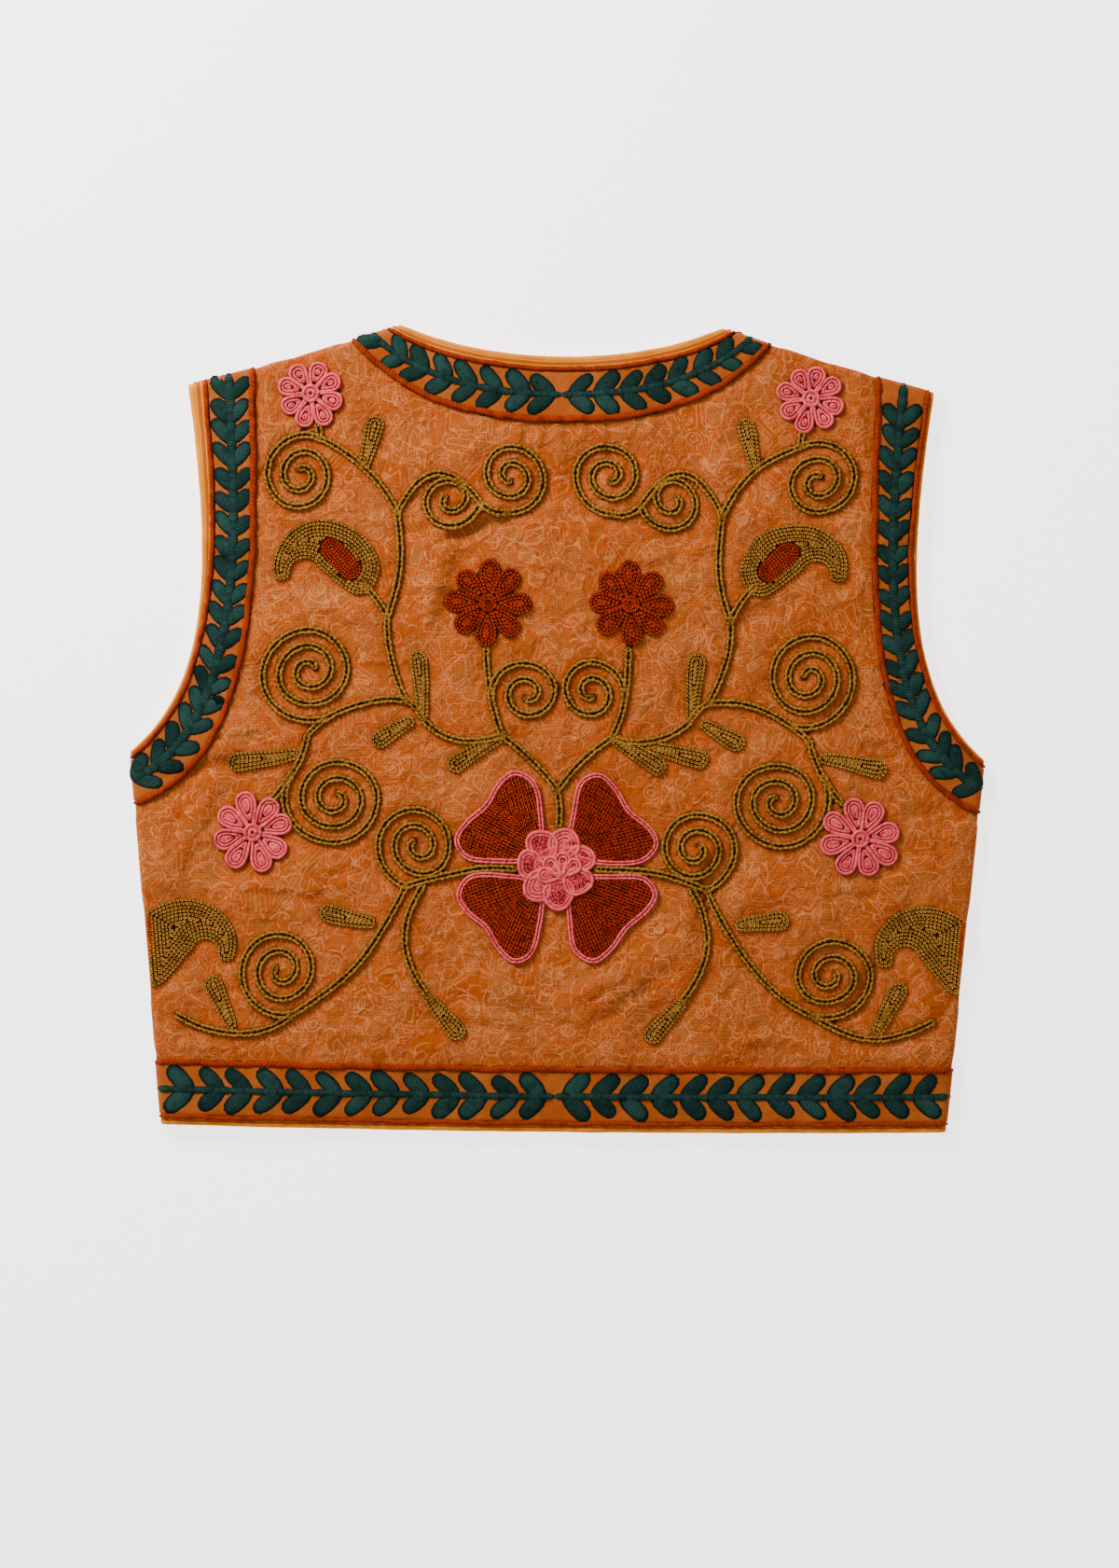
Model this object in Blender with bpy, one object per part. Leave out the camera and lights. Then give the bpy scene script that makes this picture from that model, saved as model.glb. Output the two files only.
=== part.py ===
"""An embroidered waistcoat, laid flat with its back up.

The back lies on the two fronts. All three are thin cloth walls that meet at the sides and the
shoulders, where the cloth rolls over, and are open at the neck, armholes, hem and centre front.
Every open edge has a border: a rolled lining edge, a plain band with a cord along each side.

Sizes are in millimetres. The neck points to +Y, the wearer's left is -X, and z = 0 is the table.
"""

import math

import bmesh
import bpy
from mathutils import Vector

# Outline of the right half, as points (x, y).
HEM_CORNER = Vector((219.5, -224.0))
HEM_DIP = 2.0  # how far the middle of the hem hangs below its corners
UNDERARM = Vector((239.0, -15.0))
SHOULDER_TIP = Vector((209.0, 190.0))
NECK_POINT = Vector((89.5, 225.0))
SHOULDER_HOLLOW = 1.2  # how far the shoulder seam bows in
BACK_NECK_DEPTH = 16.7
BACK_ARMHOLE_PULLS = (Vector((197.0, 105.0)), Vector((190.0, 25.0)))
FRONT_ARMHOLE_PULLS = (Vector((186.0, 105.0)), Vector((178.0, 22.0)))
CENTRE_FRONT = 2.5  # each front stops this far from the middle
FRONT_NECK_END = Vector((CENTRE_FRONT, 62.0))  # where the neckline meets the straight edge
FRONT_NECK_PULLS = (Vector((84.0, 150.0)), Vector((30.0, 92.0)))

# Inner side of each border.
HEM_BORDER = 37.0
NECK_BORDER_END = 118.0  # where it meets the shoulder seam, from the middle
NECK_BORDER_DEPTH = 54.0  # below the neck points, at the middle of the back
NECK_BORDER_PULLS = (Vector((45.0, 171.0)), Vector((88.0, 180.0)))
ARMHOLE_BORDER_TOP = 173.6
ARMHOLE_BORDER_END = 31.0  # below the underarm, down the side seam
BACK_ARMHOLE_BORDER_PULLS = (Vector((173.0, 120.0)), Vector((158.0, -20.0)))
FRONT_ARMHOLE_BORDER_PULLS = (Vector((164.0, 120.0)), Vector((148.0, -20.0)))
ARMHOLE_BORDER_SHIFT = 2.4  # the whole border sits this much further to the wearer's right
FRONT_BORDER = 31.0

# Widths across a border, from the open edge inwards.
CORD = 4.2
GAP = 0.3
HEM_LINING = 3.0
NECK_LINING = 5.4
FRONT_LINING = 2.4
ARMHOLE_LINING = 1.6
# The lining edge of the back's left armhole: share of the way from shoulder to underarm, width.
LEFT_ARMHOLE_LINING = ((0.0, 8.0), (0.3, 4.6), (0.55, 2.4), (1.0, ARMHOLE_LINING))

# Levels of the cloth.
CLOTH = 1.5
TRIM = 1.8  # a band with its raised stitching, or a cord, on the cloth
FRONT_FACE = TRIM + GAP  # the fronts' outer face, which looks down
SEAM_LEVEL = 4.0
BACK_FACE = 6.0
CROWN = 0.6  # how much higher the middle of the back stands
CROWN_REACH = (245.0, 270.0)  # where the crown would die out, across and along
ROLL = 2.0  # how far in from a seam the cloth starts to roll over

# Cross-sections of what lies along an edge: share of its width, height above the cloth's face.
BAND_SECTION = ((0.0, GAP), (1.0, GAP), (1.0, GAP + TRIM), (0.0, GAP + TRIM))
CORD_SECTION = (
    (0.0, GAP),
    (1.0, GAP),
    (1.0, GAP + 0.55 * TRIM),
    (0.75, GAP + TRIM),
    (0.25, GAP + TRIM),
    (0.0, GAP + 0.55 * TRIM),
)
LINING_SECTION = (
    (0.0, -0.7 * CLOTH),
    (0.3, -CLOTH),
    (1.0, -CLOTH),
    (1.0, 0.0),
    (0.3, 0.0),
    (0.0, -0.3 * CLOTH),
)

# Stations along a border, close together where the cloth rolls over at a seam.
AT_A_SEAM = (0.0, 0.35, 1.1, 2.2)  # in from the seam
ARMHOLE_LENGTH = 215.0
ARMHOLE_STEPS = 9
BACK_NECK_LENGTH = 95.0  # of each half
BACK_NECK_STEPS = 5
FRONT_NECK_LENGTH = 190.0
FRONT_NECK_STEPS = 8
FRONT_NECK_SHARE = 0.6  # share of a front edge's stations taken by its neckline
FRONT_STRAIGHT_STEPS = 5
HEM_STEPS = 4  # on each half
SIDE_STEPS = 3
SHOULDER_STEPS = 5

# Colours, from the cloth and threads.
MATERIALS = {
    "print_cloth": ((0.60, 0.24, 0.075), 0.85),
    "band_cloth": ((0.58, 0.22, 0.06), 0.85),
    "rust_cord": ((0.38, 0.055, 0.008), 0.75),
    "lining": ((0.80, 0.40, 0.06), 0.6),
}


def mirrored(point):
    return Vector((-point.x, point.y))


def bezier(start, pull_a, pull_b, end):
    """A curve from start to end, as a function of the share of the way along."""

    def at(s):
        r = 1.0 - s
        return r**3 * start + 3 * r * r * s * pull_a + 3 * r * s * s * pull_b + s**3 * end

    return at


def straight(start, end):
    return lambda s: start.lerp(end, s)


def on_side_seam(below_underarm):
    """The point of the side seam that far below the underarm."""
    down = (HEM_CORNER - UNDERARM).normalized()
    return UNDERARM + down * below_underarm


def shoulder_height(x):
    """Height of the shoulder seam at that distance from the middle."""
    share = (x - NECK_POINT.x) / (SHOULDER_TIP.x - NECK_POINT.x)
    bow = 4.0 * SHOULDER_HOLLOW * max(share * (1.0 - share), 0.0)
    return NECK_POINT.y + share * (SHOULDER_TIP.y - NECK_POINT.y) - bow


def on_shoulder_seam(x):
    return Vector((x, shoulder_height(x)))


def hem_height(x):
    return HEM_CORNER.y - HEM_DIP * (1.0 - (x / HEM_CORNER.x) ** 2)


def seam_distance(x, y):
    """(distance in from the nearer seam, the direction out across that seam), at a plan point."""
    side = (UNDERARM - HEM_CORNER).normalized()
    out_of_side = Vector((side.y, -side.x))
    slope = (SHOULDER_TIP - NECK_POINT).normalized()
    out_of_shoulder = Vector((-slope.y, slope.x))
    to_side = (HEM_CORNER - Vector((abs(x), y))).dot(out_of_side)
    to_shoulder = (shoulder_height(abs(x)) - y) * out_of_shoulder.y
    near, out = min(
        (to_side, tuple(out_of_side)),
        (to_shoulder, tuple(out_of_shoulder)),
    )
    return max(near, 0.0), Vector((math.copysign(out[0], x), out[1]))


def crown(x, y):
    return CROWN * (1.0 - (x / CROWN_REACH[0]) ** 2) * (1.0 - (y / CROWN_REACH[1]) ** 2)


def back_face(x, y):
    return BACK_FACE + crown(x, y)


def front_face(x, y):
    return FRONT_FACE


def on_cloth(plan, layer, height=0.0):
    """The point above a plan point, that far outside the outer face of the back or a front.

    At a seam the face turns through a quarter of an ellipse, from level to upright.
    """
    face, seam = (
        (back_face, SEAM_LEVEL + GAP / 2)
        if layer == "back"
        else (front_face, SEAM_LEVEL - GAP / 2)
    )
    rise = face(plan.x, plan.y) - seam
    distance, out = seam_distance(plan.x, plan.y)
    turn = math.acos(max(1.0 - distance / ROLL, 0.0))
    z = seam + rise * math.sin(turn)
    normal = Vector(
        (
            out.x * math.cos(turn) / ROLL,
            out.y * math.cos(turn) / ROLL,
            math.sin(turn) / rise,
        )
    ).normalized()
    return Vector((plan.x, plan.y, z)) + normal * height


def spaced(length, steps, seam_at_start, seam_at_end):
    """Shares of the way along a stretch, evenly stepped, with the seam stations at its ends."""
    first = [d / length for d in AT_A_SEAM] if seam_at_start else [0.0]
    last = [1.0 - d / length for d in reversed(AT_A_SEAM)] if seam_at_end else [1.0]
    span = last[0] - first[-1]
    return first + [first[-1] + span * i / steps for i in range(1, steps)] + last


class Border:
    """The border along an open edge: its outer and inner curve, both as functions of s."""

    def __init__(self, layer, outer, inner, stations, lining):
        self.layer = layer
        self.outer = outer
        self.inner = inner
        self.stations = stations
        self.lining = lining if callable(lining) else lambda s: lining

    def plan(self, s, inset):
        a, b = self.outer(s), self.inner(s)
        return a + (b - a).normalized() * inset

    def total(self, s):
        return (self.inner(s) - self.outer(s)).length

    def panel_edge(self):
        """Plan points where the panel stops, just inside the lining edge."""
        return [self.plan(s, self.lining(s) + GAP) for s in self.stations]

    def lane(self, name, s):
        """(from, to) of a strip at s, in from the open edge."""
        cord_start = self.lining(s) + GAP
        band_start = cord_start + CORD + GAP
        band_end = self.total(s) - CORD - GAP
        return {
            "lining": (0.0, self.lining(s)),
            "outer_cord": (cord_start, cord_start + CORD),
            "band": (band_start, band_end),
            "inner_cord": (band_end + GAP, band_end + GAP + CORD),
        }[name]

    def strip(self, lane_name, section, stations=None):
        """Rings of points along the border, one ring for each station."""
        rings = []
        for s in stations or self.stations:
            start, end = self.lane(lane_name, s)
            rings.append(
                [
                    on_cloth(self.plan(s, start + share * (end - start)), self.layer, height)
                    for share, height in section
                ]
            )
        return rings


def flip_border(border):
    """The same border on the other side of the middle."""
    return Border(
        border.layer,
        lambda s: mirrored(border.outer(s)),
        lambda s: mirrored(border.inner(s)),
        border.stations,
        border.lining,
    )


def table_value(table, s):
    """A value between the rows of a two-column table."""
    for (s_a, a), (s_b, b) in zip(table, table[1:]):
        if s <= s_b:
            return a + (b - a) * (s - s_a) / (s_b - s_a)
    return table[-1][1]


def armhole_border(layer, side, shift, lining):
    """From the shoulder tip to the underarm. side is 1 on the wearer's right, -1 on the left."""
    pulls, border_pulls = {
        "back": (BACK_ARMHOLE_PULLS, BACK_ARMHOLE_BORDER_PULLS),
        "front": (FRONT_ARMHOLE_PULLS, FRONT_ARMHOLE_BORDER_PULLS),
    }[layer]
    outer = bezier(SHOULDER_TIP, *pulls, UNDERARM)
    moved = Vector((side * shift, 0.0))
    inner = bezier(
        on_shoulder_seam(ARMHOLE_BORDER_TOP + side * shift),
        border_pulls[0] + moved,
        border_pulls[1] + moved,
        on_side_seam(ARMHOLE_BORDER_END),
    )
    stations = spaced(ARMHOLE_LENGTH, ARMHOLE_STEPS, True, True)
    right = Border(layer, outer, inner, stations, lining)
    return right if side > 0 else flip_border(right)


def back_neck_border():
    """Across the back neck, from the left shoulder seam to the right one."""
    bottom = NECK_POINT.y - BACK_NECK_DEPTH
    right_outer = bezier(
        Vector((0.0, bottom)), Vector((38.0, bottom)), Vector((66.0, 215.0)), NECK_POINT
    )
    right_inner = bezier(
        Vector((0.0, NECK_POINT.y - NECK_BORDER_DEPTH)),
        *NECK_BORDER_PULLS,
        on_shoulder_seam(NECK_BORDER_END),
    )
    half = spaced(BACK_NECK_LENGTH, BACK_NECK_STEPS, False, True)
    stations = [-s for s in reversed(half[1:])] + half

    def whole(curve):
        return lambda s: curve(s) if s >= 0.0 else mirrored(curve(-s))

    return Border("back", whole(right_outer), whole(right_inner), stations, NECK_LINING)


def front_edge_border(side):
    """Down the front neck and the straight front edge, from the shoulder seam to the hem."""
    neck = bezier(NECK_POINT, *FRONT_NECK_PULLS, FRONT_NECK_END)
    neck_border = bezier(
        on_shoulder_seam(NECK_BORDER_END),
        FRONT_NECK_PULLS[0] + Vector((FRONT_BORDER - 2.0, 0.0)),
        FRONT_NECK_PULLS[1] + Vector((FRONT_BORDER, 4.0)),
        FRONT_NECK_END + Vector((FRONT_BORDER, -6.0)),
    )
    foot = Vector((CENTRE_FRONT, hem_height(CENTRE_FRONT) + HEM_LINING + GAP))
    edge = straight(FRONT_NECK_END, foot)
    edge_border = straight(
        FRONT_NECK_END + Vector((FRONT_BORDER, -6.0)), foot + Vector((FRONT_BORDER, 0.0))
    )
    turn = FRONT_NECK_SHARE

    def along(first, second):
        return lambda s: first(s / turn) if s <= turn else second((s - turn) / (1 - turn))

    stations = [turn * s for s in spaced(FRONT_NECK_LENGTH, FRONT_NECK_STEPS, True, False)]
    for i in range(FRONT_STRAIGHT_STEPS):
        stations.append(turn + (1.0 - turn) * (i + 1) / FRONT_STRAIGHT_STEPS)
    right = Border(
        "front", along(neck, edge), along(neck_border, edge_border), stations, FRONT_LINING
    )
    return right if side > 0 else flip_border(right)


def hem_border(layer, start_x, end_x, stations):
    """Along the hem, between two distances from the middle. It leans out as the side seams do."""
    lean = (UNDERARM.x - HEM_CORNER.x) / (UNDERARM.y - HEM_CORNER.y) / HEM_CORNER.x

    def outer(s):
        x = start_x + (end_x - start_x) * s
        return Vector((x, hem_height(x)))

    def inner(s):
        foot = outer(s)
        return foot + HEM_BORDER * Vector((lean * foot.x, 1.0))

    return Border(layer, outer, inner, stations, HEM_LINING)


def patch(left, right, bottom, top):
    """Rows of plan points that fill the four-sided outline (a Coons patch).

    left and right run from bottom to top, bottom and top from left to right.
    """
    height = top[0].y - bottom[0].y
    width = top[-1].x - top[0].x
    rows = []
    for j, (l, r) in enumerate(zip(left, right)):
        v = ((l.y + r.y) / 2 - (bottom[0].y + bottom[-1].y) / 2) / height
        if j in (0, len(left) - 1):
            v = round(v)
        row = []
        for b, t in zip(bottom, top):
            u = (t.x - top[0].x) / width
            ruled = b.lerp(t, v) + l.lerp(r, u)
            row.append(ruled - bottom[0].lerp(bottom[-1], u).lerp(top[0].lerp(top[-1], u), v))
        rows.append(row)
    return rows


def add_solid(name, points, faces, material):
    mesh = bpy.data.meshes.new(name)
    mesh.from_pydata([p * 0.001 for p in points], [], faces)
    shape = bmesh.new()
    shape.from_mesh(mesh)
    bmesh.ops.recalc_face_normals(shape, faces=shape.faces)
    shape.to_mesh(mesh)
    shape.free()
    mesh.shade_smooth()
    mesh.set_sharp_from_angle(angle=math.radians(40.0))
    mesh.materials.append(material)
    solid = bpy.data.objects.new(name, mesh)
    garment.objects.link(solid)
    return solid


def add_wall(name, rows, layer, material):
    """A cloth wall: the outer face over rows of plan points, and the inner face CLOTH inside it."""
    count = len(rows[0])
    points, faces = [], []
    for depth in (0.0, -CLOTH):
        points += [on_cloth(p, layer, depth) for row in rows for p in row]
    inside = len(rows) * count
    for j in range(len(rows) - 1):
        for i in range(count - 1):
            a = j * count + i
            quad = (a, a + 1, a + count + 1, a + count)
            faces += [quad, tuple(k + inside for k in reversed(quad))]
    rim = (
        list(range(count))
        + [j * count + count - 1 for j in range(1, len(rows))]
        + [(len(rows) - 1) * count + i for i in range(count - 2, -1, -1)]
        + [j * count for j in range(len(rows) - 2, 0, -1)]
    )
    for a, b in zip(rim, rim[1:] + rim[:1]):
        faces.append((a, b, b + inside, a + inside))
    return add_solid(name, points, faces, material)


def add_strip(name, rings, material):
    """A closed solid through rings of points, capped at both ends."""
    count = len(rings[0])
    points = [p for ring in rings for p in ring]
    faces = [tuple(range(count)), tuple(range(len(points) - count, len(points)))]
    for j in range(len(rings) - 1):
        for i in range(count):
            a, b = j * count + i, j * count + (i + 1) % count
            faces.append((a, b, b + count, a + count))
    return add_solid(name, points, faces, material)


def add_trims(name, border, with_lining=True):
    """The band, the two cords and the lining edge of one border."""
    if with_lining:
        rings = border.strip("lining", LINING_SECTION)
        add_strip(f"{name}_lining_edge", rings, material_of["lining"])
    for lane, section, material in (
        ("outer_cord", CORD_SECTION, "rust_cord"),
        ("band", BAND_SECTION, "band_cloth"),
        ("inner_cord", CORD_SECTION, "rust_cord"),
    ):
        add_strip(f"{name}_{lane}", border.strip(lane, section), material_of[material])


def back_top_edge(neck, left_edge, right_edge):
    """Plan points along the back's shoulders and neck, from left to right."""
    neck_edge = neck.panel_edge()

    def shoulder(tip, point):
        shares = spaced(abs(tip.x - point.x), SHOULDER_STEPS, True, False)
        xs = [abs(tip.x) + (abs(point.x) - abs(tip.x)) * s for s in shares]
        return [Vector((math.copysign(x, tip.x), shoulder_height(x))) for x in xs]

    left = shoulder(left_edge[0], neck_edge[0])
    right = shoulder(right_edge[0], neck_edge[-1])
    return left[:-1] + neck_edge + right[-2::-1]


def side_edge(hem_corner, armhole_edge):
    """Plan points up a side seam and on round the armhole to the shoulder."""
    seam = [hem_corner.lerp(armhole_edge[-1], i / SIDE_STEPS) for i in range(SIDE_STEPS)]
    return seam + armhole_edge[::-1]


def build_back():
    neck = back_neck_border()
    left_hole = armhole_border(
        "back", -1, ARMHOLE_BORDER_SHIFT, lambda s: table_value(LEFT_ARMHOLE_LINING, s)
    )
    right_hole = armhole_border("back", 1, ARMHOLE_BORDER_SHIFT, ARMHOLE_LINING)
    half = spaced(HEM_CORNER.x, HEM_STEPS, False, True)
    hem_stations = [0.5 - s / 2 for s in reversed(half[1:])] + [0.5 + s / 2 for s in half]
    hem = hem_border("back", -HEM_CORNER.x, HEM_CORNER.x, hem_stations)

    left_edge, right_edge = left_hole.panel_edge(), right_hole.panel_edge()
    top = back_top_edge(neck, left_edge, right_edge)
    shares = [(p.x - top[0].x) / (top[-1].x - top[0].x) for p in top]
    bottom = [hem.plan(s, HEM_LINING + GAP) for s in shares]
    left = side_edge(bottom[0], left_edge)
    right = side_edge(bottom[-1], right_edge)
    add_wall("back_panel", patch(left, right, bottom, top), "back", material_of["print_cloth"])

    add_trims("back_neck", neck)
    add_trims("back_left_armhole", left_hole)
    add_trims("back_right_armhole", right_hole)
    add_trims("back_hem", hem)


def build_front(side):
    name = "front_right" if side > 0 else "front_left"
    edge = front_edge_border(side)
    hole = armhole_border("front", side, ARMHOLE_BORDER_SHIFT, ARMHOLE_LINING)
    hole_edge, front_edge = hole.panel_edge(), edge.panel_edge()

    shares = spaced(abs(hole_edge[0].x - front_edge[0].x), SHOULDER_STEPS, True, False)
    xs = [abs(hole_edge[0].x) + (abs(front_edge[0].x) - abs(hole_edge[0].x)) * s for s in shares]
    top = [Vector((math.copysign(x, side), shoulder_height(x))) for x in xs]
    corner = side * HEM_CORNER.x
    panel_hem = hem_border("front", corner, front_edge[-1].x, shares)
    bottom = panel_hem.panel_edge()
    rows = patch(side_edge(bottom[0], hole_edge), front_edge[::-1], bottom, top)
    add_wall(f"{name}_panel", rows, "front", material_of["print_cloth"])

    add_trims(f"{name}_edge", edge)
    add_trims(f"{name}_armhole", hole)
    stations = spaced(HEM_CORNER.x, HEM_STEPS, True, False)
    band_end = side * (CENTRE_FRONT + FRONT_BORDER + GAP)
    add_trims(f"{name}_hem", hem_border("front", corner, band_end, stations), with_lining=False)
    whole_hem = hem_border("front", corner, side * CENTRE_FRONT, stations)
    rings = whole_hem.strip("lining", LINING_SECTION)
    add_strip(f"{name}_hem_lining_edge", rings, material_of["lining"])


def make_material(name, colour, roughness):
    material = bpy.data.materials.new(name)
    material.use_nodes = True
    shader = material.node_tree.nodes["Principled BSDF"]
    shader.inputs["Base Color"].default_value = (*colour, 1.0)
    shader.inputs["Roughness"].default_value = roughness
    shader.inputs["Metallic"].default_value = 0.0
    return material


def centre_on_origin():
    """Puts the middle of the garment's outline on the origin, and its underside on z = 0."""
    corners = [v.co for solid in garment.objects for v in solid.data.vertices]
    low = Vector(min(c[i] for c in corners) for i in range(3))
    high = Vector(max(c[i] for c in corners) for i in range(3))
    middle = (low + high) / 2
    for solid in garment.objects:
        for vertex in solid.data.vertices:
            vertex.co -= Vector((middle.x, middle.y, low.z))


for old in list(bpy.data.objects):
    bpy.data.objects.remove(old)
garment = bpy.data.collections.new("Embroidered waistcoat")
bpy.context.scene.collection.children.link(garment)
material_of = {name: make_material(name, *look) for name, look in MATERIALS.items()}
build_back()
build_front(-1)
build_front(1)
centre_on_origin()
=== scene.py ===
import math

import bmesh
import bpy
import numpy as np
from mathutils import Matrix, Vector, kdtree


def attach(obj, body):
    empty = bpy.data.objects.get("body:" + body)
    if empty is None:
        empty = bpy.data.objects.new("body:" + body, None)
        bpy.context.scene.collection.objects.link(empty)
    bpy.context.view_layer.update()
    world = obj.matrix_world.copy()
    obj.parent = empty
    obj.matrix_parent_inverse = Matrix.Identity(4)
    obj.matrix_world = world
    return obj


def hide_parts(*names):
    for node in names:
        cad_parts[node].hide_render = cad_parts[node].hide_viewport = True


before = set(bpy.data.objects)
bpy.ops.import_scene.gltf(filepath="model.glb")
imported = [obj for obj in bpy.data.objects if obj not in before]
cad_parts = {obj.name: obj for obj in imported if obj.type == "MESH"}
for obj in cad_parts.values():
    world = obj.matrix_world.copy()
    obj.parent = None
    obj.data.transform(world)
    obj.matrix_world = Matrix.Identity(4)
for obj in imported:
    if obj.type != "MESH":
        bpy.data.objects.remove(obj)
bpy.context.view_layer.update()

# ---------------------------------------------------------------------------------------------
# The lie of the garment. It is laid face down on a table, so the back is on top and the two
# fronts under it. The cloth rolls over at the side and shoulder seams, where back meets front.
# Sizes here and below are in millimetres, and mirror across the middle unless a line says so.
HEM_CORNER = np.array((219.5, -224.0))
HEM_DIP = 2.0
UNDERARM = np.array((239.0, -15.0))
SHOULDER_TIP = np.array((209.0, 190.0))
NECK_POINT = np.array((89.5, 225.0))
SHOULDER_HOLLOW = 1.2
FRONT_FACE = 2.1
SEAM_LEVEL = 4.0
BACK_FACE = 6.0
CROWN = 0.6
CROWN_REACH = (245.0, 270.0)
ROLL = 4.2

# The creases left in the back by folding and by the pull of the stitching.
CREASES = (
    # middle x, y, direction in degrees, length, width, depth
    (-48.0, 111.0, 20.0, 38.0, 4.6, 3.4),
    (-38.0, 119.0, 34.0, 18.0, 4.0, 1.4),
    (29.0, -147.0, 30.0, 34.0, 4.6, 2.2),
    (40.0, -160.0, 8.0, 26.0, 4.0, 0.8),
    (-20.0, 163.0, 92.0, 20.0, 2.8, 0.9),
    (-8.0, 166.0, 86.0, 15.0, 2.6, 0.7),
    (3.0, 161.0, 96.0, 24.0, 3.0, 1.1),
    (14.0, 165.0, 84.0, 16.0, 2.6, 0.8),
    (26.0, 162.0, 95.0, 22.0, 2.8, 1.0),
    (40.0, 164.0, 80.0, 18.0, 2.8, 0.8),
    (54.0, 168.0, 74.0, 16.0, 2.8, 0.6),
    (-36.0, 167.0, 104.0, 15.0, 2.8, 0.6),
    (-181.0, -7.0, 6.0, 30.0, 3.2, 0.9),
    (-154.0, -95.0, -3.0, 52.0, 3.6, 0.9),
    (-112.0, -91.0, 5.0, 26.0, 3.2, 0.6),
    (-196.0, 42.0, -38.0, 20.0, 2.8, 0.8),
    (-186.0, 12.0, -24.0, 22.0, 2.8, 0.9),
    (-164.0, 143.0, 24.0, 18.0, 2.8, 0.7),
    (-70.0, 75.0, 6.0, 30.0, 3.2, 0.7),
    (-12.0, 88.0, -5.0, 44.0, 3.4, 0.7),
    (8.0, 6.0, 84.0, 28.0, 3.4, 0.7),
    (-56.0, -30.0, 62.0, 20.0, 3.0, 0.6),
    (52.0, 92.0, 12.0, 30.0, 3.2, 0.8),
    (76.0, 60.0, -12.0, 28.0, 3.2, 0.7),
    (64.0, 20.0, 70.0, 22.0, 3.0, 0.6),
    (180.0, -8.0, -10.0, 30.0, 3.2, 0.9),
    (196.0, 30.0, 40.0, 18.0, 2.8, 0.8),
    (170.0, -92.0, 4.0, 46.0, 3.4, 0.9),
    (120.0, -96.0, -8.0, 30.0, 3.2, 0.6),
    (96.0, -150.0, 60.0, 26.0, 3.2, 0.6),
    (-30.0, -168.0, -6.0, 44.0, 3.6, 0.7),
    (-104.0, -176.0, 4.0, 40.0, 3.4, 0.6),
    (128.0, -178.0, -4.0, 50.0, 3.6, 0.7),
    (-214.0, -60.0, 80.0, 30.0, 3.4, 0.8),
    (213.0, -66.0, 96.0, 34.0, 3.4, 0.8),
    (186.0, 104.0, 8.0, 18.0, 2.8, 0.7),
    (-186.0, 96.0, -6.0, 16.0, 2.6, 0.6),
    (-208.0, -170.0, 70.0, 24.0, 3.0, 0.7),
    (206.0, -176.0, 110.0, 26.0, 3.0, 0.7),
    (2.0, 40.0, 88.0, 30.0, 3.2, 0.5),
    (-60.0, 78.0, 76.0, 54.0, 8.0, 1.4),
    (44.0, -150.0, 36.0, 70.0, 9.0, 1.6),
    (-16.0, -160.0, -14.0, 56.0, 8.0, 1.2),
    (-196.0, -24.0, 14.0, 44.0, 7.0, 1.4),
    (194.0, -20.0, 152.0, 44.0, 7.0, 1.3),
    (-118.0, 56.0, -24.0, 40.0, 7.0, 1.1),
    (118.0, 66.0, 22.0, 44.0, 7.0, 1.2),
    (-196.0, -60.0, 66.0, 60.0, 9.0, 1.2),
    (186.0, -120.0, 64.0, 70.0, 9.0, 1.4),
    (84.0, -96.0, 78.0, 60.0, 8.0, 1.1),
    (-70.0, -130.0, 100.0, 60.0, 9.0, 1.1),
)
CREASE_STRENGTH = 1.35
HOLLOW_LIMIT = 1.4
RISE_LIMIT = 3.2
lie_chance = np.random.default_rng(7)
SWELLS = [
    # turns per millimetre, direction, where it starts, steepness
    (rate, lie_chance.uniform(0.0, 3.1), lie_chance.uniform(0.0, 6.3), slope)
    for rate, slope in [(0.035 + 0.011 * k, 0.02) for k in range(12)]
    + [(0.26 + 0.045 * k, 0.034) for k in range(9)]
]


def smooth(edge_a, edge_b, value):
    """0 before edge_a, 1 after edge_b, and a soft step between them."""
    share = np.clip((value - edge_a) / (edge_b - edge_a), 0.0, 1.0)
    return share * share * (3.0 - 2.0 * share)


def creasing(x, y):
    """How far the back stands above or below a smooth sheet."""
    rise = np.zeros_like(x)
    for rate, turn, phase, slope in SWELLS:
        across = x * math.cos(turn) + y * math.sin(turn)
        bend = 1.4 * np.sin(0.09 * (y * math.cos(turn) - x * math.sin(turn)) + 2.0 * phase)
        rise += slope / rate * np.sin(rate * across + bend + phase)
    for at_x, at_y, direction, length, width, depth in CREASES:
        near = (np.abs(x - at_x) < length) & (np.abs(y - at_y) < length)
        if not near.any():
            continue
        turn = math.radians(direction)
        off_x, off_y = x[near] - at_x, y[near] - at_y
        along = off_x * math.cos(turn) + off_y * math.sin(turn)
        across = off_y * math.cos(turn) - off_x * math.sin(turn)
        across = across + 0.1 * width * np.sin(along * 0.35 + at_x)
        fade = np.exp(-((2.0 * along / length) ** 4))
        trough = np.exp(-((across / (0.5 * width)) ** 2))
        lip = np.exp(-(((across - 1.1 * width) / (0.9 * width)) ** 2))
        rise[near] += CREASE_STRENGTH * depth * fade * (0.8 * lip - 0.7 * trough)
    return np.where(
        rise < 0.0, HOLLOW_LIMIT * np.tanh(rise / HOLLOW_LIMIT), RISE_LIMIT * np.tanh(rise / RISE_LIMIT)
    )


def shoulder_height(x):
    share = (x - NECK_POINT[0]) / (SHOULDER_TIP[0] - NECK_POINT[0])
    bow = 4.0 * SHOULDER_HOLLOW * np.maximum(share * (1.0 - share), 0.0)
    return NECK_POINT[1] + share * (SHOULDER_TIP[1] - NECK_POINT[1]) - bow


def hem_height(x):
    return HEM_CORNER[1] - HEM_DIP * (1.0 - (x / HEM_CORNER[0]) ** 2)


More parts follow.
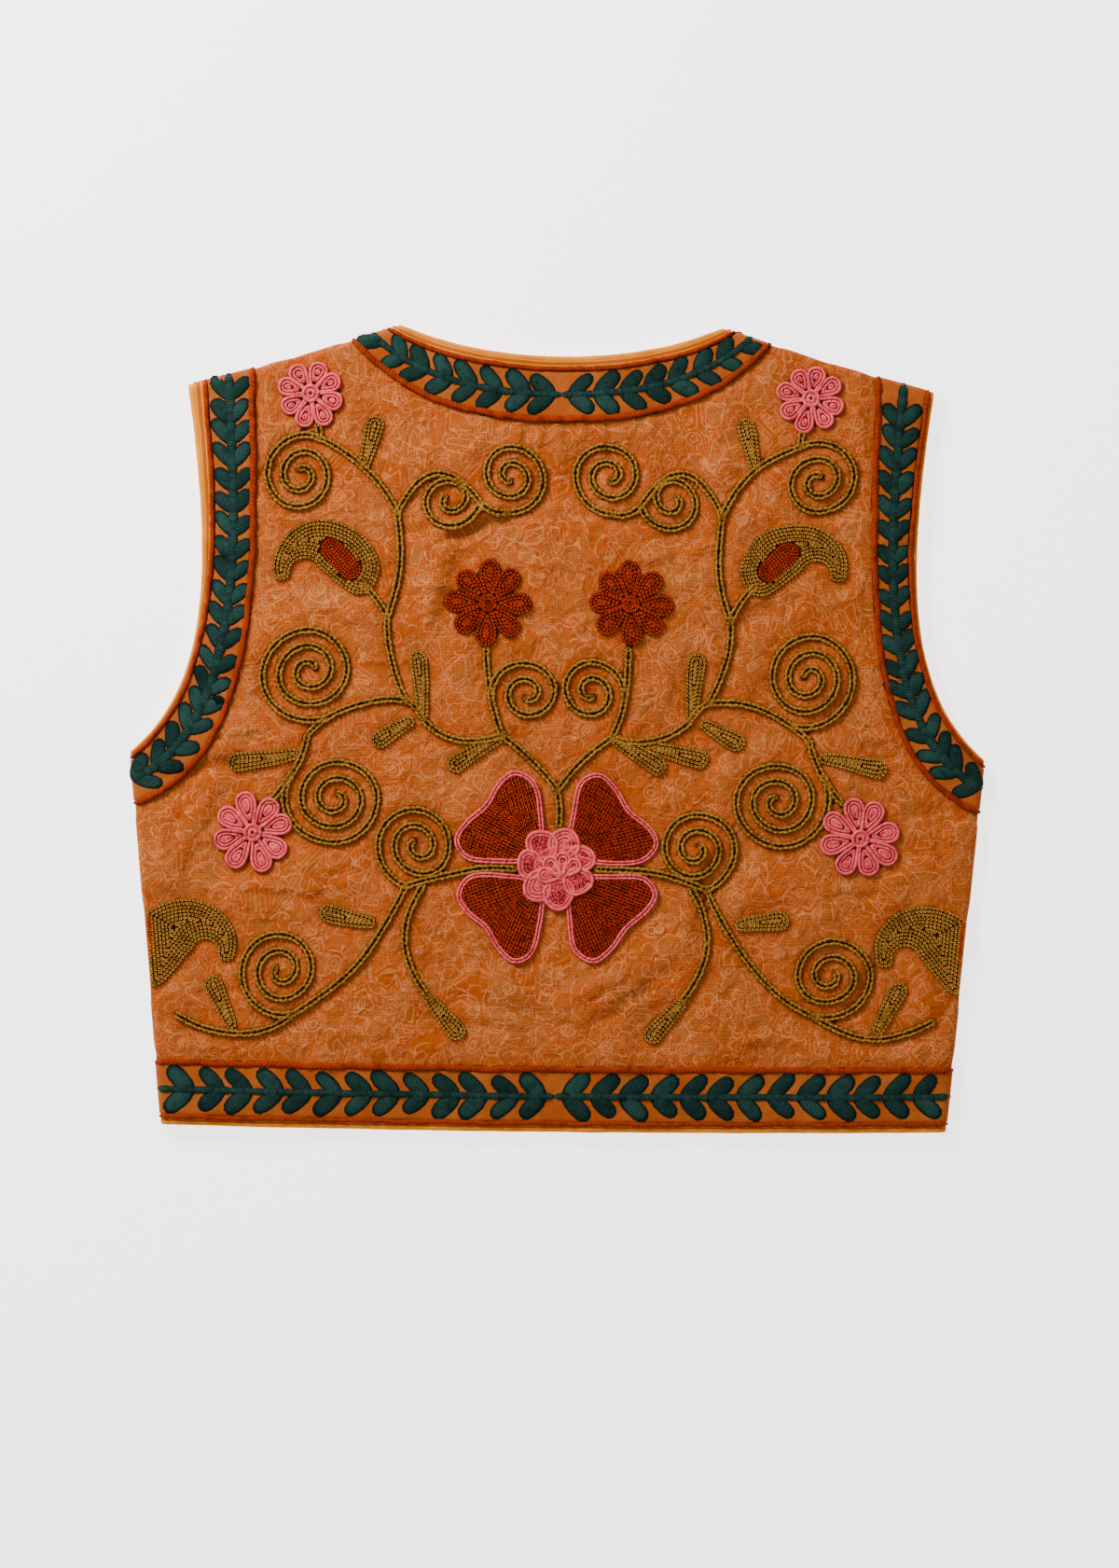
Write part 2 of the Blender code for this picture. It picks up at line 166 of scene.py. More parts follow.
def lie(plan, layer, height=0.0):
    """Points on the outer face of the back or a front, and height above it, from plan points."""
    x, y = plan[:, 0], plan[:, 1]
    side = (UNDERARM - HEM_CORNER) / np.linalg.norm(UNDERARM - HEM_CORNER)
    slope = (SHOULDER_TIP - NECK_POINT) / np.linalg.norm(SHOULDER_TIP - NECK_POINT)
    to_side = (HEM_CORNER[0] - np.abs(x)) * side[1] - (HEM_CORNER[1] - y) * side[0]
    to_shoulder = (shoulder_height(np.abs(x)) - y) * slope[0]
    at_side = to_side < to_shoulder
    out_x = np.where(at_side, side[1], -slope[1]) * np.sign(x)
    out_y = np.where(at_side, -side[0], slope[0])
    distance = np.maximum(np.where(at_side, to_side, to_shoulder), 0.0)
    turn = np.arccos(np.maximum(1.0 - distance / ROLL, 0.0))
    face = np.full_like(x, FRONT_FACE)
    lean_x = lean_y = 0.0
    if layer == "back":
        crown = CROWN * (1 - (x / CROWN_REACH[0]) ** 2) * (1 - (y / CROWN_REACH[1]) ** 2)
        fade = smooth(0.0, 14.0, distance)
        face = BACK_FACE + crown + fade * creasing(x, y)
        step = 0.4
        lean_x = -fade * (creasing(x + step, y) - creasing(x - step, y)) / (2 * step)
        lean_y = -fade * (creasing(x, y + step) - creasing(x, y - step)) / (2 * step)
    rise = face - SEAM_LEVEL
    up = np.sin(turn) / rise
    normal = np.stack(
        (
            out_x * np.cos(turn) / ROLL + np.abs(up) * lean_x,
            out_y * np.cos(turn) / ROLL + np.abs(up) * lean_y,
            up,
        ),
        axis=1,
    )
    normal /= np.linalg.norm(normal, axis=1)[:, None]
    face_points = np.stack((x, y, SEAM_LEVEL + rise * np.sin(turn)), axis=1)
    return face_points + normal * np.broadcast_to(height, x.shape)[:, None]


# ---------------------------------------------------------------------------------------------
# The borders' plan. Each open edge has a rolled lining edge, then a cord, a plain band about
# 25 mm wide and a second cord, all laid flat on the cloth and sewn down along the edge.
CORD = 4.2
GAP = 0.3
BACK_NECK_DEPTH = 16.7
NECK_BORDER_END = 118.0
NECK_BORDER_DEPTH = 54.0
HEM_BORDER = 37.0
HEM_LINING = 3.0
NECK_LINING = 5.4
FRONT_LINING = 2.4
ARMHOLE_LINING = 1.6
ARMHOLE_BORDER_TOP = 173.6
ARMHOLE_BORDER_END = 31.0
ARMHOLE_BORDER_SHIFT = 2.4
FRONT_BORDER = 31.0
CENTRE_FRONT = 2.5
FRONT_NECK_END = np.array((CENTRE_FRONT, 62.0))
SEAM_STATIONS = (0.3, 0.8, 1.5, 2.4, 3.4, 4.6)
# The lining edge of the back's left armhole: share of the way from shoulder to underarm, width.
LEFT_LINING = ((0.0, 8.0), (0.3, 4.6), (0.55, 2.4), (1.0, ARMHOLE_LINING))


def bow(start, pull_a, pull_b, end):
    """A curve between two points, as a function of the share of the way along."""
    ends = [np.asarray(point, dtype=float) for point in (start, pull_a, pull_b, end)]

    def at(share):
        s = np.asarray(share, dtype=float)[:, None]
        r = 1.0 - s
        return r**3 * ends[0] + 3 * r * r * s * ends[1] + 3 * r * s * s * ends[2] + s**3 * ends[3]

    return at


def run_length(line):
    """Distance along a line at each of its points."""
    steps = np.linalg.norm(np.diff(line, axis=0), axis=1)
    return np.concatenate(((0.0,), np.cumsum(steps)))


def walk(line, distances):
    """Points at those distances along a line, and the direction of travel there."""
    run = run_length(line)
    places = np.stack([np.interp(distances, run, line[:, i]) for i in (0, 1)], axis=1)
    ahead = np.stack([np.interp(distances + 0.4, run, line[:, i]) for i in (0, 1)], axis=1)
    behind = np.stack([np.interp(distances - 0.4, run, line[:, i]) for i in (0, 1)], axis=1)
    heading = ahead - behind
    return places, heading / np.maximum(np.linalg.norm(heading, axis=1), 1e-9)[:, None]


class Border:
    """The border along an open edge, between its outer and its inner curve."""

    def __init__(self, layer, outer, inner, lining, first=0.0):
        self.layer, self.outer, self.inner, self.first = layer, outer, inner, first
        self.lining = lining if callable(lining) else lambda share: np.full(len(share), lining)

    def flipped(self):
        mirror = np.array((-1.0, 1.0))
        return Border(
            self.layer,
            lambda share: self.outer(share) * mirror,
            lambda share: self.inner(share) * mirror,
            self.lining,
            self.first,
        )

    def width(self, share):
        return np.linalg.norm(self.inner(share) - self.outer(share), axis=1)

    def plan(self, share, inset):
        edge = self.outer(share)
        inwards = (self.inner(share) - edge) / self.width(share)[:, None]
        return edge + inwards * np.broadcast_to(inset, share.shape)[:, None]

    def lane(self, name, share):
        """Where a strip starts and ends, in from the open edge."""
        cord_start = self.lining(share) + GAP
        band_start = cord_start + CORD + GAP
        band_end = self.width(share) - CORD - GAP
        return {
            "lining_edge": (np.zeros(len(share)), self.lining(share)),
            "outer_cord": (cord_start, cord_start + CORD),
            "band": (band_start, band_end),
            "inner_cord": (band_end + GAP, band_end + GAP + CORD),
        }[name]

    def middle(self, share):
        start, end = self.lane("band", share)
        return self.plan(share, (start + end) / 2)

    def stations(self, pitch):
        """Shares along the border, evenly spaced and closer together near its ends."""
        fine = np.linspace(self.first, 1.0, 800)
        run = run_length(self.middle(fine))
        marks = np.linspace(0.0, run[-1], int(run[-1] / pitch) + 1)
        near_ends = np.concatenate((SEAM_STATIONS, run[-1] - np.array(SEAM_STATIONS)))
        marks = np.unique(np.concatenate((marks, near_ends)))
        return np.interp(marks, run, fine)


def shoulder_point(x):
    return np.array((x, float(shoulder_height(np.float64(x)))))


def armhole_border(layer, side, lining):
    """From the shoulder tip to the underarm. side is 1 on the wearer's right, -1 on the left."""
    pulls, border_pulls = {
        "back": (((197.0, 105.0), (190.0, 25.0)), ((173.0, 120.0), (158.0, -20.0))),
        "front": (((186.0, 105.0), (178.0, 22.0)), ((164.0, 120.0), (148.0, -20.0))),
    }[layer]
    shift = np.array((side * ARMHOLE_BORDER_SHIFT, 0.0))
    down = (HEM_CORNER - UNDERARM) / np.linalg.norm(HEM_CORNER - UNDERARM)
    right = Border(
        layer,
        bow(SHOULDER_TIP, *pulls, UNDERARM),
        bow(
            shoulder_point(ARMHOLE_BORDER_TOP + shift[0]),
            border_pulls[0] + shift,
            border_pulls[1] + shift,
            UNDERARM + down * ARMHOLE_BORDER_END,
        ),
        lining,
    )
    return right if side > 0 else right.flipped()


def neck_border():
    """Across the back neck, from the left shoulder seam to the right one."""
    bottom = NECK_POINT[1] - BACK_NECK_DEPTH
    outer = bow((0.0, bottom), (38.0, bottom), (66.0, 215.0), NECK_POINT)
    low = NECK_POINT[1] - NECK_BORDER_DEPTH
    inner = bow((0.0, low), (45.0, 171.0), (88.0, 180.0), shoulder_point(NECK_BORDER_END))

    def whole(half):
        def at(share):
            points = half(np.abs(share))
            points[:, 0] *= np.sign(share)
            return points

        return at

    return Border("back", whole(outer), whole(inner), NECK_LINING, first=-1.0)


def front_edge_border(side):
    """Down the front neck and the straight front edge, from the shoulder seam to the hem."""
    turn = 0.6
    corner = FRONT_NECK_END + np.array((FRONT_BORDER, -6.0))
    neck = bow(NECK_POINT, (84.0, 150.0), (30.0, 92.0), FRONT_NECK_END)
    neck_inner = bow(
        shoulder_point(NECK_BORDER_END),
        (84.0 + FRONT_BORDER - 2.0, 150.0),
        (30.0 + FRONT_BORDER, 96.0),
        corner,
    )
    foot = np.array((CENTRE_FRONT, hem_height(CENTRE_FRONT) + HEM_LINING + GAP))
    inner_foot = foot + np.array((FRONT_BORDER, 0.0))

    def two_part(curved, straight_from, straight_to):
        def at(share):
            on_neck = curved(np.minimum(share / turn, 1.0))
            down = np.maximum((share - turn) / (1.0 - turn), 0.0)[:, None]
            return np.where(down > 0.0, straight_from + (straight_to - straight_from) * down, on_neck)

        return at

    right = Border(
        "front",
        two_part(neck, FRONT_NECK_END, foot),
        two_part(neck_inner, corner, inner_foot),
        FRONT_LINING,
    )
    return right if side > 0 else right.flipped()


def hem_border(layer, start_x, end_x):
    """Along the hem, between two distances from the middle. It leans out as the side seams do."""
    lean = (UNDERARM[0] - HEM_CORNER[0]) / (UNDERARM[1] - HEM_CORNER[1]) / HEM_CORNER[0]

    def outer(share):
        x = start_x + (end_x - start_x) * share
        return np.stack((x, hem_height(x)), axis=1)

    def inner(share):
        foot = outer(share)
        return foot + HEM_BORDER * np.stack((lean * foot[:, 0], np.ones(len(foot))), axis=1)

    return Border(layer, outer, inner, HEM_LINING)


def left_lining(share):
    return np.interp(share, [row[0] for row in LEFT_LINING], [row[1] for row in LEFT_LINING])


band_hem_end = CENTRE_FRONT + FRONT_BORDER + GAP
borders = {
    "back_neck": neck_border(),
    "back_left_armhole": armhole_border("back", -1, left_lining),
    "back_right_armhole": armhole_border("back", 1, ARMHOLE_LINING),
    "back_hem": hem_border("back", -HEM_CORNER[0], HEM_CORNER[0]),
    "front_left_edge": front_edge_border(-1),
    "front_right_edge": front_edge_border(1),
    "front_left_armhole": armhole_border("front", -1, ARMHOLE_LINING),
    "front_right_armhole": armhole_border("front", 1, ARMHOLE_LINING),
    "front_left_hem": hem_border("front", -HEM_CORNER[0], -band_hem_end),
    "front_right_hem": hem_border("front", HEM_CORNER[0], band_hem_end),
}
whole_front_hems = {
    "front_left_hem": hem_border("front", -HEM_CORNER[0], -CENTRE_FRONT),
    "front_right_hem": hem_border("front", HEM_CORNER[0], CENTRE_FRONT),
}


# ---------------------------------------------------------------------------------------------
# Embroidery, worked on the cloth before it is made up, in wool. Vines are a heavy chain of two
# strands, and leaves, paisleys and flowers are filled by finer rows side by side.
stitch_chance = np.random.default_rng(21)
stitched_places = []


def finish_mesh(piece, material, sharp=40.0):
    """Smooth but for sharp turns, with its material."""
    mesh = piece.data
    mesh.shade_smooth()
    mesh.set_sharp_from_angle(angle=math.radians(sharp))
    mesh.materials.append(material)
    return piece


def note_points(mesh, name, values):
    """A number for each point of a mesh, which its material can read."""
    layer = mesh.attributes.new(name, "FLOAT", "POINT")
    layer.data.foreach_set("value", np.asarray(values, dtype=np.float32))


def map_points(mesh, across, along):
    """A UV map in millimetres, from a value across and along for each point of the mesh."""
    corners = np.empty(len(mesh.loops), dtype=np.int32)
    mesh.loops.foreach_get("vertex_index", corners)
    layer = mesh.uv_layers.new(name="Thread")
    values = np.stack((np.asarray(across)[corners], np.asarray(along)[corners]), axis=1)
    layer.uv.foreach_set("vector", values.astype(np.float32).ravel())


class Needlework:
    """Stitches and cords on one layer of cloth, gathered into one piece."""

    def __init__(self, layer):
        self.layer = layer
        self.points, self.faces, self.ridge, self.tone, self.thread = [], [], [], [], []
        self.count = 0

    def add(self, points, faces, ridge, tone, thread):
        if self.layer == "front":
            faces = [face[::-1] for face in faces]
        self.faces += [[corner + self.count for corner in face] for face in faces]
        self.points.append(points)
        self.ridge.append(np.broadcast_to(ridge, (len(points),)))
        self.tone.append(np.broadcast_to(tone, (len(points),)))
        self.thread.append(thread)
        self.count += len(points)

    def stamp(self, shape, places, headings, length, width, height, brightest=1.0):
        """One copy of a stitch at each place, turned to its heading and laid on the cloth."""
        form, faces, ridge = shape
        count = len(places)
        if count == 0:
            return
        sizes = [np.broadcast_to(value, (count,))[:, None] for value in (length, width, height)]
        along, across = form[None, :, 0] * sizes[0], form[None, :, 1] * sizes[1]
        rise = form[None, :, 2] * sizes[2]
        x = places[:, 0, None] + headings[:, 0, None] * along - headings[:, 1, None] * across
        y = places[:, 1, None] + headings[:, 1, None] * along + headings[:, 0, None] * across
        plan = np.stack((x.ravel(), y.ravel()), axis=1)
        points = lie(plan, self.layer, rise.ravel())
        size = len(form)
        every_face = [
            [corner + step * size for corner in face] for step in range(count) for face in faces
        ]
        tone = np.repeat(stitch_chance.uniform(brightest - 1.0, brightest, count), size)
        thread = np.stack((across.ravel(), along.ravel()), axis=1)
        self.add(points, every_face, np.tile(ridge, count), tone, thread)

    def cord(self, line, width, height, sides=8, step=1.3, closed=False, base=0.0, lump=0.08):
        """A cord couched along a line."""
        if closed:
            line = np.concatenate((line, line[:1]))
        total = run_length(line)[-1]
        count = max(int(total / step), 3)
        marks = np.linspace(0.0, total, count + 1)
        places, headings = walk(line, marks)
        if closed:
            places, headings = places[:-1], headings[:-1]
            marks = marks[:-1]
            taper = np.ones(len(marks))
        else:
            ease = np.minimum(marks, total - marks) / (width * 0.6)
            taper = 0.4 + 0.6 * np.sqrt(np.clip(ease, 0.0, 1.0))
        swell = 1.0 + lump * np.sin(marks * 2.03) + 0.06 * np.sin(marks * 0.43 + places[:, 0])
        angles = np.linspace(0.0, 2 * math.pi, sides, endpoint=False)
        across = np.cos(angles)[None, :] * (width / 2) * (taper * swell)[:, None]
        rise = base + (np.sin(angles)[None, :] * 0.5 + 0.5) * height * (taper * swell)[:, None]
        x = places[:, 0, None] - headings[:, 1, None] * across
        y = places[:, 1, None] + headings[:, 0, None] * across
        points = lie(np.stack((x.ravel(), y.ravel()), axis=1), self.layer, rise.ravel())
        rings = len(places)
        faces = []
        for ring in range(rings if closed else rings - 1):
            after = (ring + 1) % rings
            for k in range(sides):
                ahead = (k + 1) % sides
                faces.append(
                    (ring * sides + k, after * sides + k, after * sides + ahead, ring * sides + ahead)
                )
        if not closed:
            faces.append(tuple(range(sides)))
            faces.append(tuple((rings - 1) * sides + k for k in reversed(range(sides))))
        # Ridge for painted shade on the cord's underside and the painted highlight on its top.
        ridge = np.tile(np.sin(angles) * 0.5 + 0.5, rings)
        thread = np.stack((np.tile(angles, rings), np.repeat(marks, sides)), axis=1)
        start = stitch_chance.uniform(0.0, 6.3)
        tone = 0.5 + 0.3 * np.sin(marks * 1.37 + start) + 0.2 * np.sin(marks * 0.61 + 2.0 * start)
        self.add(points, faces, ridge, np.repeat(tone, sides), thread)

    def finish(self, name, material):
        mesh = bpy.data.meshes.new(name)
        mesh.from_pydata(np.concatenate(self.points) * 0.001, [], self.faces)
        thread = np.concatenate(self.thread)
        map_points(mesh, thread[:, 0], thread[:, 1])
        note_points(mesh, "ridge", np.concatenate(self.ridge))
        note_points(mesh, "tone", np.concatenate(self.tone))
        piece = bpy.data.objects.new(name, mesh)
        bpy.context.scene.collection.objects.link(piece)
        return finish_mesh(piece, material, sharp=75.0)


def take_shape(model, ridge_at):
    """A modelled stitch as numbers, for stamping; the model itself is put away."""
    mesh = model.data
    form = np.array([vertex.co for vertex in mesh.vertices])
    faces = [list(face.vertices) for face in mesh.polygons]
    ridge = np.array([ridge_at(*point) for point in form])
    bpy.data.objects.remove(model)
    bpy.data.meshes.remove(mesh)
    return form, faces, ridge


def model_link(sides, ridge_size, pit):
    """A chain stitch seen from above: a low ring of thread round a pit. One long, wide, high."""
    bpy.ops.object.select_all(action="DESELECT")
    bpy.ops.mesh.primitive_circle_add(vertices=sides, radius=0.5, fill_type="NGON")
    link = bpy.context.active_object
    bpy.ops.object.mode_set(mode="EDIT")
    bpy.ops.mesh.select_all(action="SELECT")
    bpy.ops.mesh.extrude_region_move(TRANSFORM_OT_translate={"value": (0.0, 0.0, 1.0)})
    bpy.ops.transform.resize(value=(ridge_size, ridge_size, 1.0))
    bpy.ops.mesh.extrude_region_move(TRANSFORM_OT_translate={"value": (0.0, 0.0, pit - 1.0)})
    bpy.ops.mesh.merge(type="COLLAPSE")
    bpy.ops.mesh.select_all(action="SELECT")
    bpy.ops.mesh.normals_make_consistent(inside=False)
    bpy.ops.object.mode_set(mode="OBJECT")
    # The ridge value sets painted light on the link: a painted highlight on the ring's top, painted
    # shade in the pit and at the foot.
    return take_shape(link, lambda x, y, z: 1.0 if z > 0.9 else 0.25 * float(z > 0.1))


FINE_LINK = model_link(8, 0.64, 0.35)


def flow(points, step=0.8):
    """A smooth line through points, in even steps."""
    knots = np.asarray(points, dtype=float)
    before = np.concatenate((2 * knots[:1] - knots[1:2], knots[:-1]))
    after = np.concatenate((knots[1:], 2 * knots[-1:] - knots[-2:-1]))
    slopes = (after - before) / 2
    share = np.linspace(0.0, 1.0, 16, endpoint=False)[:, None]
    pieces = []
    for a, b, da, db in zip(knots[:-1], knots[1:], slopes[:-1], slopes[1:]):
        s2, s3 = share**2, share**3
        curve = (2 * s3 - 3 * s2 + 1) * a + (s3 - 2 * s2 + share) * da
        pieces.append(curve + (3 * s2 - 2 * s3) * b + (s3 - s2) * db)
    line = np.concatenate(pieces + [knots[-1:]])
    total = run_length(line)[-1]
    return walk(line, np.linspace(0.0, total, max(int(total / step), 2) + 1))[0]


def loop(points, step=0.8):
    """A smooth closed outline through points."""
    knots = np.asarray(points, dtype=float)
    count = len(knots)
    wrapped = np.concatenate((knots[-3:], knots, knots[:3]))
    line = flow(wrapped, 0.25)
    run = run_length(line)
    first = run[np.argmin(np.linalg.norm(line - knots[0], axis=1) + 1e3 * (run > run[-1] * 0.5))]
    gaps = np.linalg.norm(line - knots[0], axis=1) + 1e3 * (run < run[-1] * 0.5)
    last = run[np.argmin(gaps)]
    return walk(line, np.linspace(first, last, max(int((last - first) / step), 8), endpoint=False))[0]


def scroll(centre, start, sense):
    """A spiral from a start point in to a small eye; sense is 1 for anticlockwise."""
    centre, start = np.asarray(centre, dtype=float), np.asarray(start, dtype=float)
    off = start - centre
    reach = np.linalg.norm(off)
    turns = (reach - SCROLL_EYE) / SCROLL_PITCH
    share = np.linspace(0.0, 1.0, max(int(40 * turns), 12))
    turn = math.atan2(off[1], off[0]) + sense * 2 * math.pi * turns * share
    radius = (reach + (SCROLL_EYE - reach) * share)[:, None]
    return flow(centre + radius * np.stack((np.cos(turn), np.sin(turn)), axis=1))


def stem(start, end, bend):
    """A stem from one place to another. It bends to its left by a share of its length."""
    start, end = np.asarray(start, dtype=float), np.asarray(end, dtype=float)
    way = end - start
    share = np.linspace(0.0, 1.0, 9)[:, None]
    aside = 4.0 * bend * share * (1.0 - share) * np.array((-way[1], way[0]))
    return flow(start + way * share + aside)


def hand_drift(line):
    """The same line as a hand would draw it, a little off true and not the same on both sides."""
    x, y = line[:, 0], line[:, 1]
    drift_x = 0.7 * np.sin(x * 0.051 + y * 0.023 + 1.0) + 0.4 * np.sin(y * 0.11 + x * 0.02)
    drift_y = 0.7 * np.sin(y * 0.047 - x * 0.031 + 2.0) + 0.4 * np.sin(x * 0.13 + 0.4)
    return line + np.stack((drift_x, drift_y), axis=1)


def mirrored(line):
    return np.asarray(line) * np.array((-1.0, 1.0))


def closed_up(outline):
    """An outline with its first point again at its end."""
    return np.concatenate((outline, outline[:1]))


def tree_of(plan):
    """A search tree for the nearest of some plan points."""
    tree = kdtree.KDTree(len(plan))
    for index, point in enumerate(plan):
        tree.insert((point[0], point[1], 0.0), index)
    tree.balance()
    return tree


def mark_stitched(line, half_width):
    run = run_length(line)
    for point, at in zip(line[::2], run[::2]):
        stitched_places.append((point[0], point[1], half_width, at))


def beyond_seam(plan):
    """How far a plan point is outside the side or shoulder seam."""
    x, y = np.abs(plan[:, 0]), plan[:, 1]
    side = (UNDERARM - HEM_CORNER) / np.linalg.norm(UNDERARM - HEM_CORNER)
    past_side = (x - HEM_CORNER[0]) * side[1] - (y - HEM_CORNER[1]) * side[0]
    return np.maximum(past_side, y - shoulder_height(x))


def seam_reach(height):
    """How far the side seam is from the middle of the back, at a height."""
    lean = (UNDERARM[0] - HEM_CORNER[0]) / (UNDERARM[1] - HEM_CORNER[1])
    return HEM_CORNER[0] + (height - HEM_CORNER[1]) * lean


SEAM_MARGIN = 1.3


def chain(work, line, width, pitch, height, shape, overlap=1.12):
    """One row of chain stitch along a line."""
    total = run_length(line)[-1]
    count = max(int(round(total / pitch)), 1)
    marks = (np.arange(count) + 0.5) * total / count
    places, headings = walk(line, marks)
    wobble = stitch_chance.normal(0.0, 0.045, count)
    headings = headings + np.stack((-headings[:, 1], headings[:, 0]), axis=1) * wobble[:, None]
    widths = width * stitch_chance.uniform(0.92, 1.06, count)
    heights = height * stitch_chance.uniform(0.9, 1.08, count)
    inside = beyond_seam(places) < -SEAM_MARGIN
    length = total / count * overlap
    work.stamp(
        shape, places[inside], headings[inside], length, widths[inside], heights[inside]
    )


def runs_of(points, kept):
    """The unbroken stretches of a closed line that are kept."""
    if kept.sum() < 3:
        return []
    if kept.all():
        return [np.concatenate((points, points[:1]))]
    start = int(np.argmin(kept))
    runs, run = [], []
    for step in range(len(points) + 1):
        index = (start + step) % len(points)
        if kept[index] and step < len(points):
            run.append(points[index])
        else:
            if len(run) > 2:
                runs.append(np.array(run))
            run = []
    return runs


def rows_inside(outline, first, pitch):
    """Lines that follow a closed outline inwards, one row apart."""
    before, after = np.roll(outline, 1, axis=0), np.roll(outline, -1, axis=0)
    heading = after - before
    heading /= np.linalg.norm(heading, axis=1)[:, None]
    x, y = outline[:, 0], outline[:, 1]
    turned_left = np.sum(x * np.roll(y, -1) - np.roll(x, -1) * y) > 0.0
    inwards = np.stack((-heading[:, 1], heading[:, 0]), axis=1) * (1.0 if turned_left else -1.0)
    rows, depth = [], first
    was_kept = np.ones(len(outline), dtype=bool)
    while depth < 40.0 and was_kept.sum() > 2:
        moved = outline + inwards * depth
        gaps = np.linalg.norm(moved[:, None] - outline[None], axis=2).min(axis=1)
        kept = gaps > depth - 0.12
        half = outline + inwards * (depth - pitch * 0.5)
        half_gaps = np.linalg.norm(half[:, None] - outline[None], axis=2).min(axis=1)
        narrow = was_kept & ~kept & (half_gaps > depth - pitch * 0.5 - 0.12) & (depth > first)
        rows += runs_of(moved, kept) + runs_of(half, narrow)
        was_kept = kept
        depth += pitch
    return rows


def mark_filled(outline, depth=2.0):
    """Note all of an outline's inside as stitched, by rows twice as wide as their depth."""
    for row in rows_inside(outline, depth, depth + 1.0):
        mark_stitched(row, depth)


def fill(work, outline, height, width=2.0, pitch=2.25, first=0.95):
    """Rows of fine chain stitch that fill an outline, from its edge inwards."""
    for row in rows_inside(outline, first, width):
        chain(work, row, width * 1.08, pitch, height, FINE_LINK)
    mark_stitched(closed_up(outline), 0.0)
    mark_filled(outline)


# The design is drawn for one half of the back, in round numbers, and mirrored to the other.
# Stems are plain bows between forks; scrolls, leaves, paisleys and petals are formulas.
SHOULDER_FORK = (-135, 160)
NECK_FORK = (-90, 120)
BREAST_FORK = (-95, 60)
WAIST_FORK = (-85, 15)
LEAF_FORK = (-75, 5)
MIDDLE_FORK = (-30, -5)
FLANK_FORK = (-140, -5)
LOW_FORK = (-85, -90)
HEM_FORK = (-145, -160)
STEMS = (
    # start, end, how far it bends to its left
    ((-136, 168), SHOULDER_FORK, 0.1),
    (SHOULDER_FORK, NECK_FORK, 0.1),
    (NECK_FORK, (-45, 125), 0.45),
    ((-45, 125), (-30, 120), -0.15),
    (NECK_FORK, BREAST_FORK, 0.06),
    ((-110, 80), BREAST_FORK, 0.05),
    (BREAST_FORK, WAIST_FORK, -0.08),
    (FLANK_FORK, WAIST_FORK, 0.12),
    (WAIST_FORK, LEAF_FORK, 0.1),
    (LEAF_FORK, MIDDLE_FORK, -0.15),
    ((-40, 45), MIDDLE_FORK, -0.06),
    (MIDDLE_FORK, (0, -35), 0.04),
    (FLANK_FORK, (-150, -30), 0.05),
    ((-148, -25), (-160, -42), 0.05),
    (LOW_FORK, (-22, -78), 0.05),
    ((-75, -88), (-70, -152), -0.18),
    (LOW_FORK, HEM_FORK, 0.09),
    (HEM_FORK, (-212, -162), 0.17),
)
SCROLL_EYE = 3.0
SCROLL_PITCH = 9.0
SCROLLS = (
    # centre, start, sense
    ((-145, 140), SHOULDER_FORK, 1),
    ((-62, 128), (-45, 125), -1),
    ((-28, 141), (-30, 120), 1),
    ((-140, 30), (-130, 4), -1),
    ((-18, 20), (-37, 15), -1),
    ((-124, -40), (-150, -30), 1),
    ((-78, -67), LOW_FORK, -1),
    ((-154, -137), HEM_FORK, -1),
)
LEAVES = (
    # base, direction in degrees, length
    ((-110, 145), 75, 30),
    (LEAF_FORK, 95, 38),
    ((-80, 5), 210, 28),
    ((-145, -15), 190, 40),
    ((-100, -110), 170, 32),
    ((-180, -170), 115, 32),
    ((-72, -150), 310, 32),
    (MIDDLE_FORK, 210, 36),
)
LEAF_WIDTHS = (7.2, 10.8)


def bar(base, tip, base_width, tip_width):
    """Outline of a long leaf with rounded ends."""
    base, tip = np.asarray(base, dtype=float), np.asarray(tip, dtype=float)
    heading = (tip - base) / np.linalg.norm(tip - base)
    across = np.array((-heading[1], heading[0]))
    turn = np.linspace(-math.pi / 2, math.pi / 2, 7)[:, None]
    far, near = tip_width / 2, base_width / 2
    tip_end = tip - heading * far + far * (np.cos(turn) * heading + np.sin(turn) * across)
    base_end = base + heading * near - near * (np.cos(turn) * heading + np.sin(turn) * across)
    middle = (base + tip) / 2
    swell = (far + near) / 2 * 1.05
    sides = (middle + across * swell, middle - across * swell)
    return loop(np.concatenate((tip_end, sides[:1], base_end, sides[1:])))


def leaf(base, degrees, length):
    """Outline of one of the design's leaves, narrow where it leaves the stem."""
    turn = math.radians(degrees)
    tip = np.asarray(base) + length * np.array((math.cos(turn), math.sin(turn)))
    return bar(base, tip, *LEAF_WIDTHS)


def paisley(base, degrees, size, curl):
    """Outline of a paisley and of its seed: a fat drop with a tail that curls over, and an oval."""
    share = np.linspace(0.0, 1.0, 9)
    turn = np.radians(degrees + curl * share**1.7)
    heading = np.stack((np.cos(turn), np.sin(turn)), axis=1)
    spine = np.asarray(base) + (np.cumsum(heading, axis=0) - heading[0]) * size / 8.0
    fullness = np.interp(
        share, (0.0, 0.12, 0.32, 0.52, 0.76, 1.0), (0.06, 0.17, 0.225, 0.17, 0.105, 0.05)
    )
    across = np.stack((-heading[:, 1], heading[:, 0]), axis=1) * (size * fullness)[:, None]
    outline = loop(np.concatenate((spine + across, (spine - across)[::-1])))
    return outline, bar(spine[1], spine[4], size * 0.155, size * 0.17)


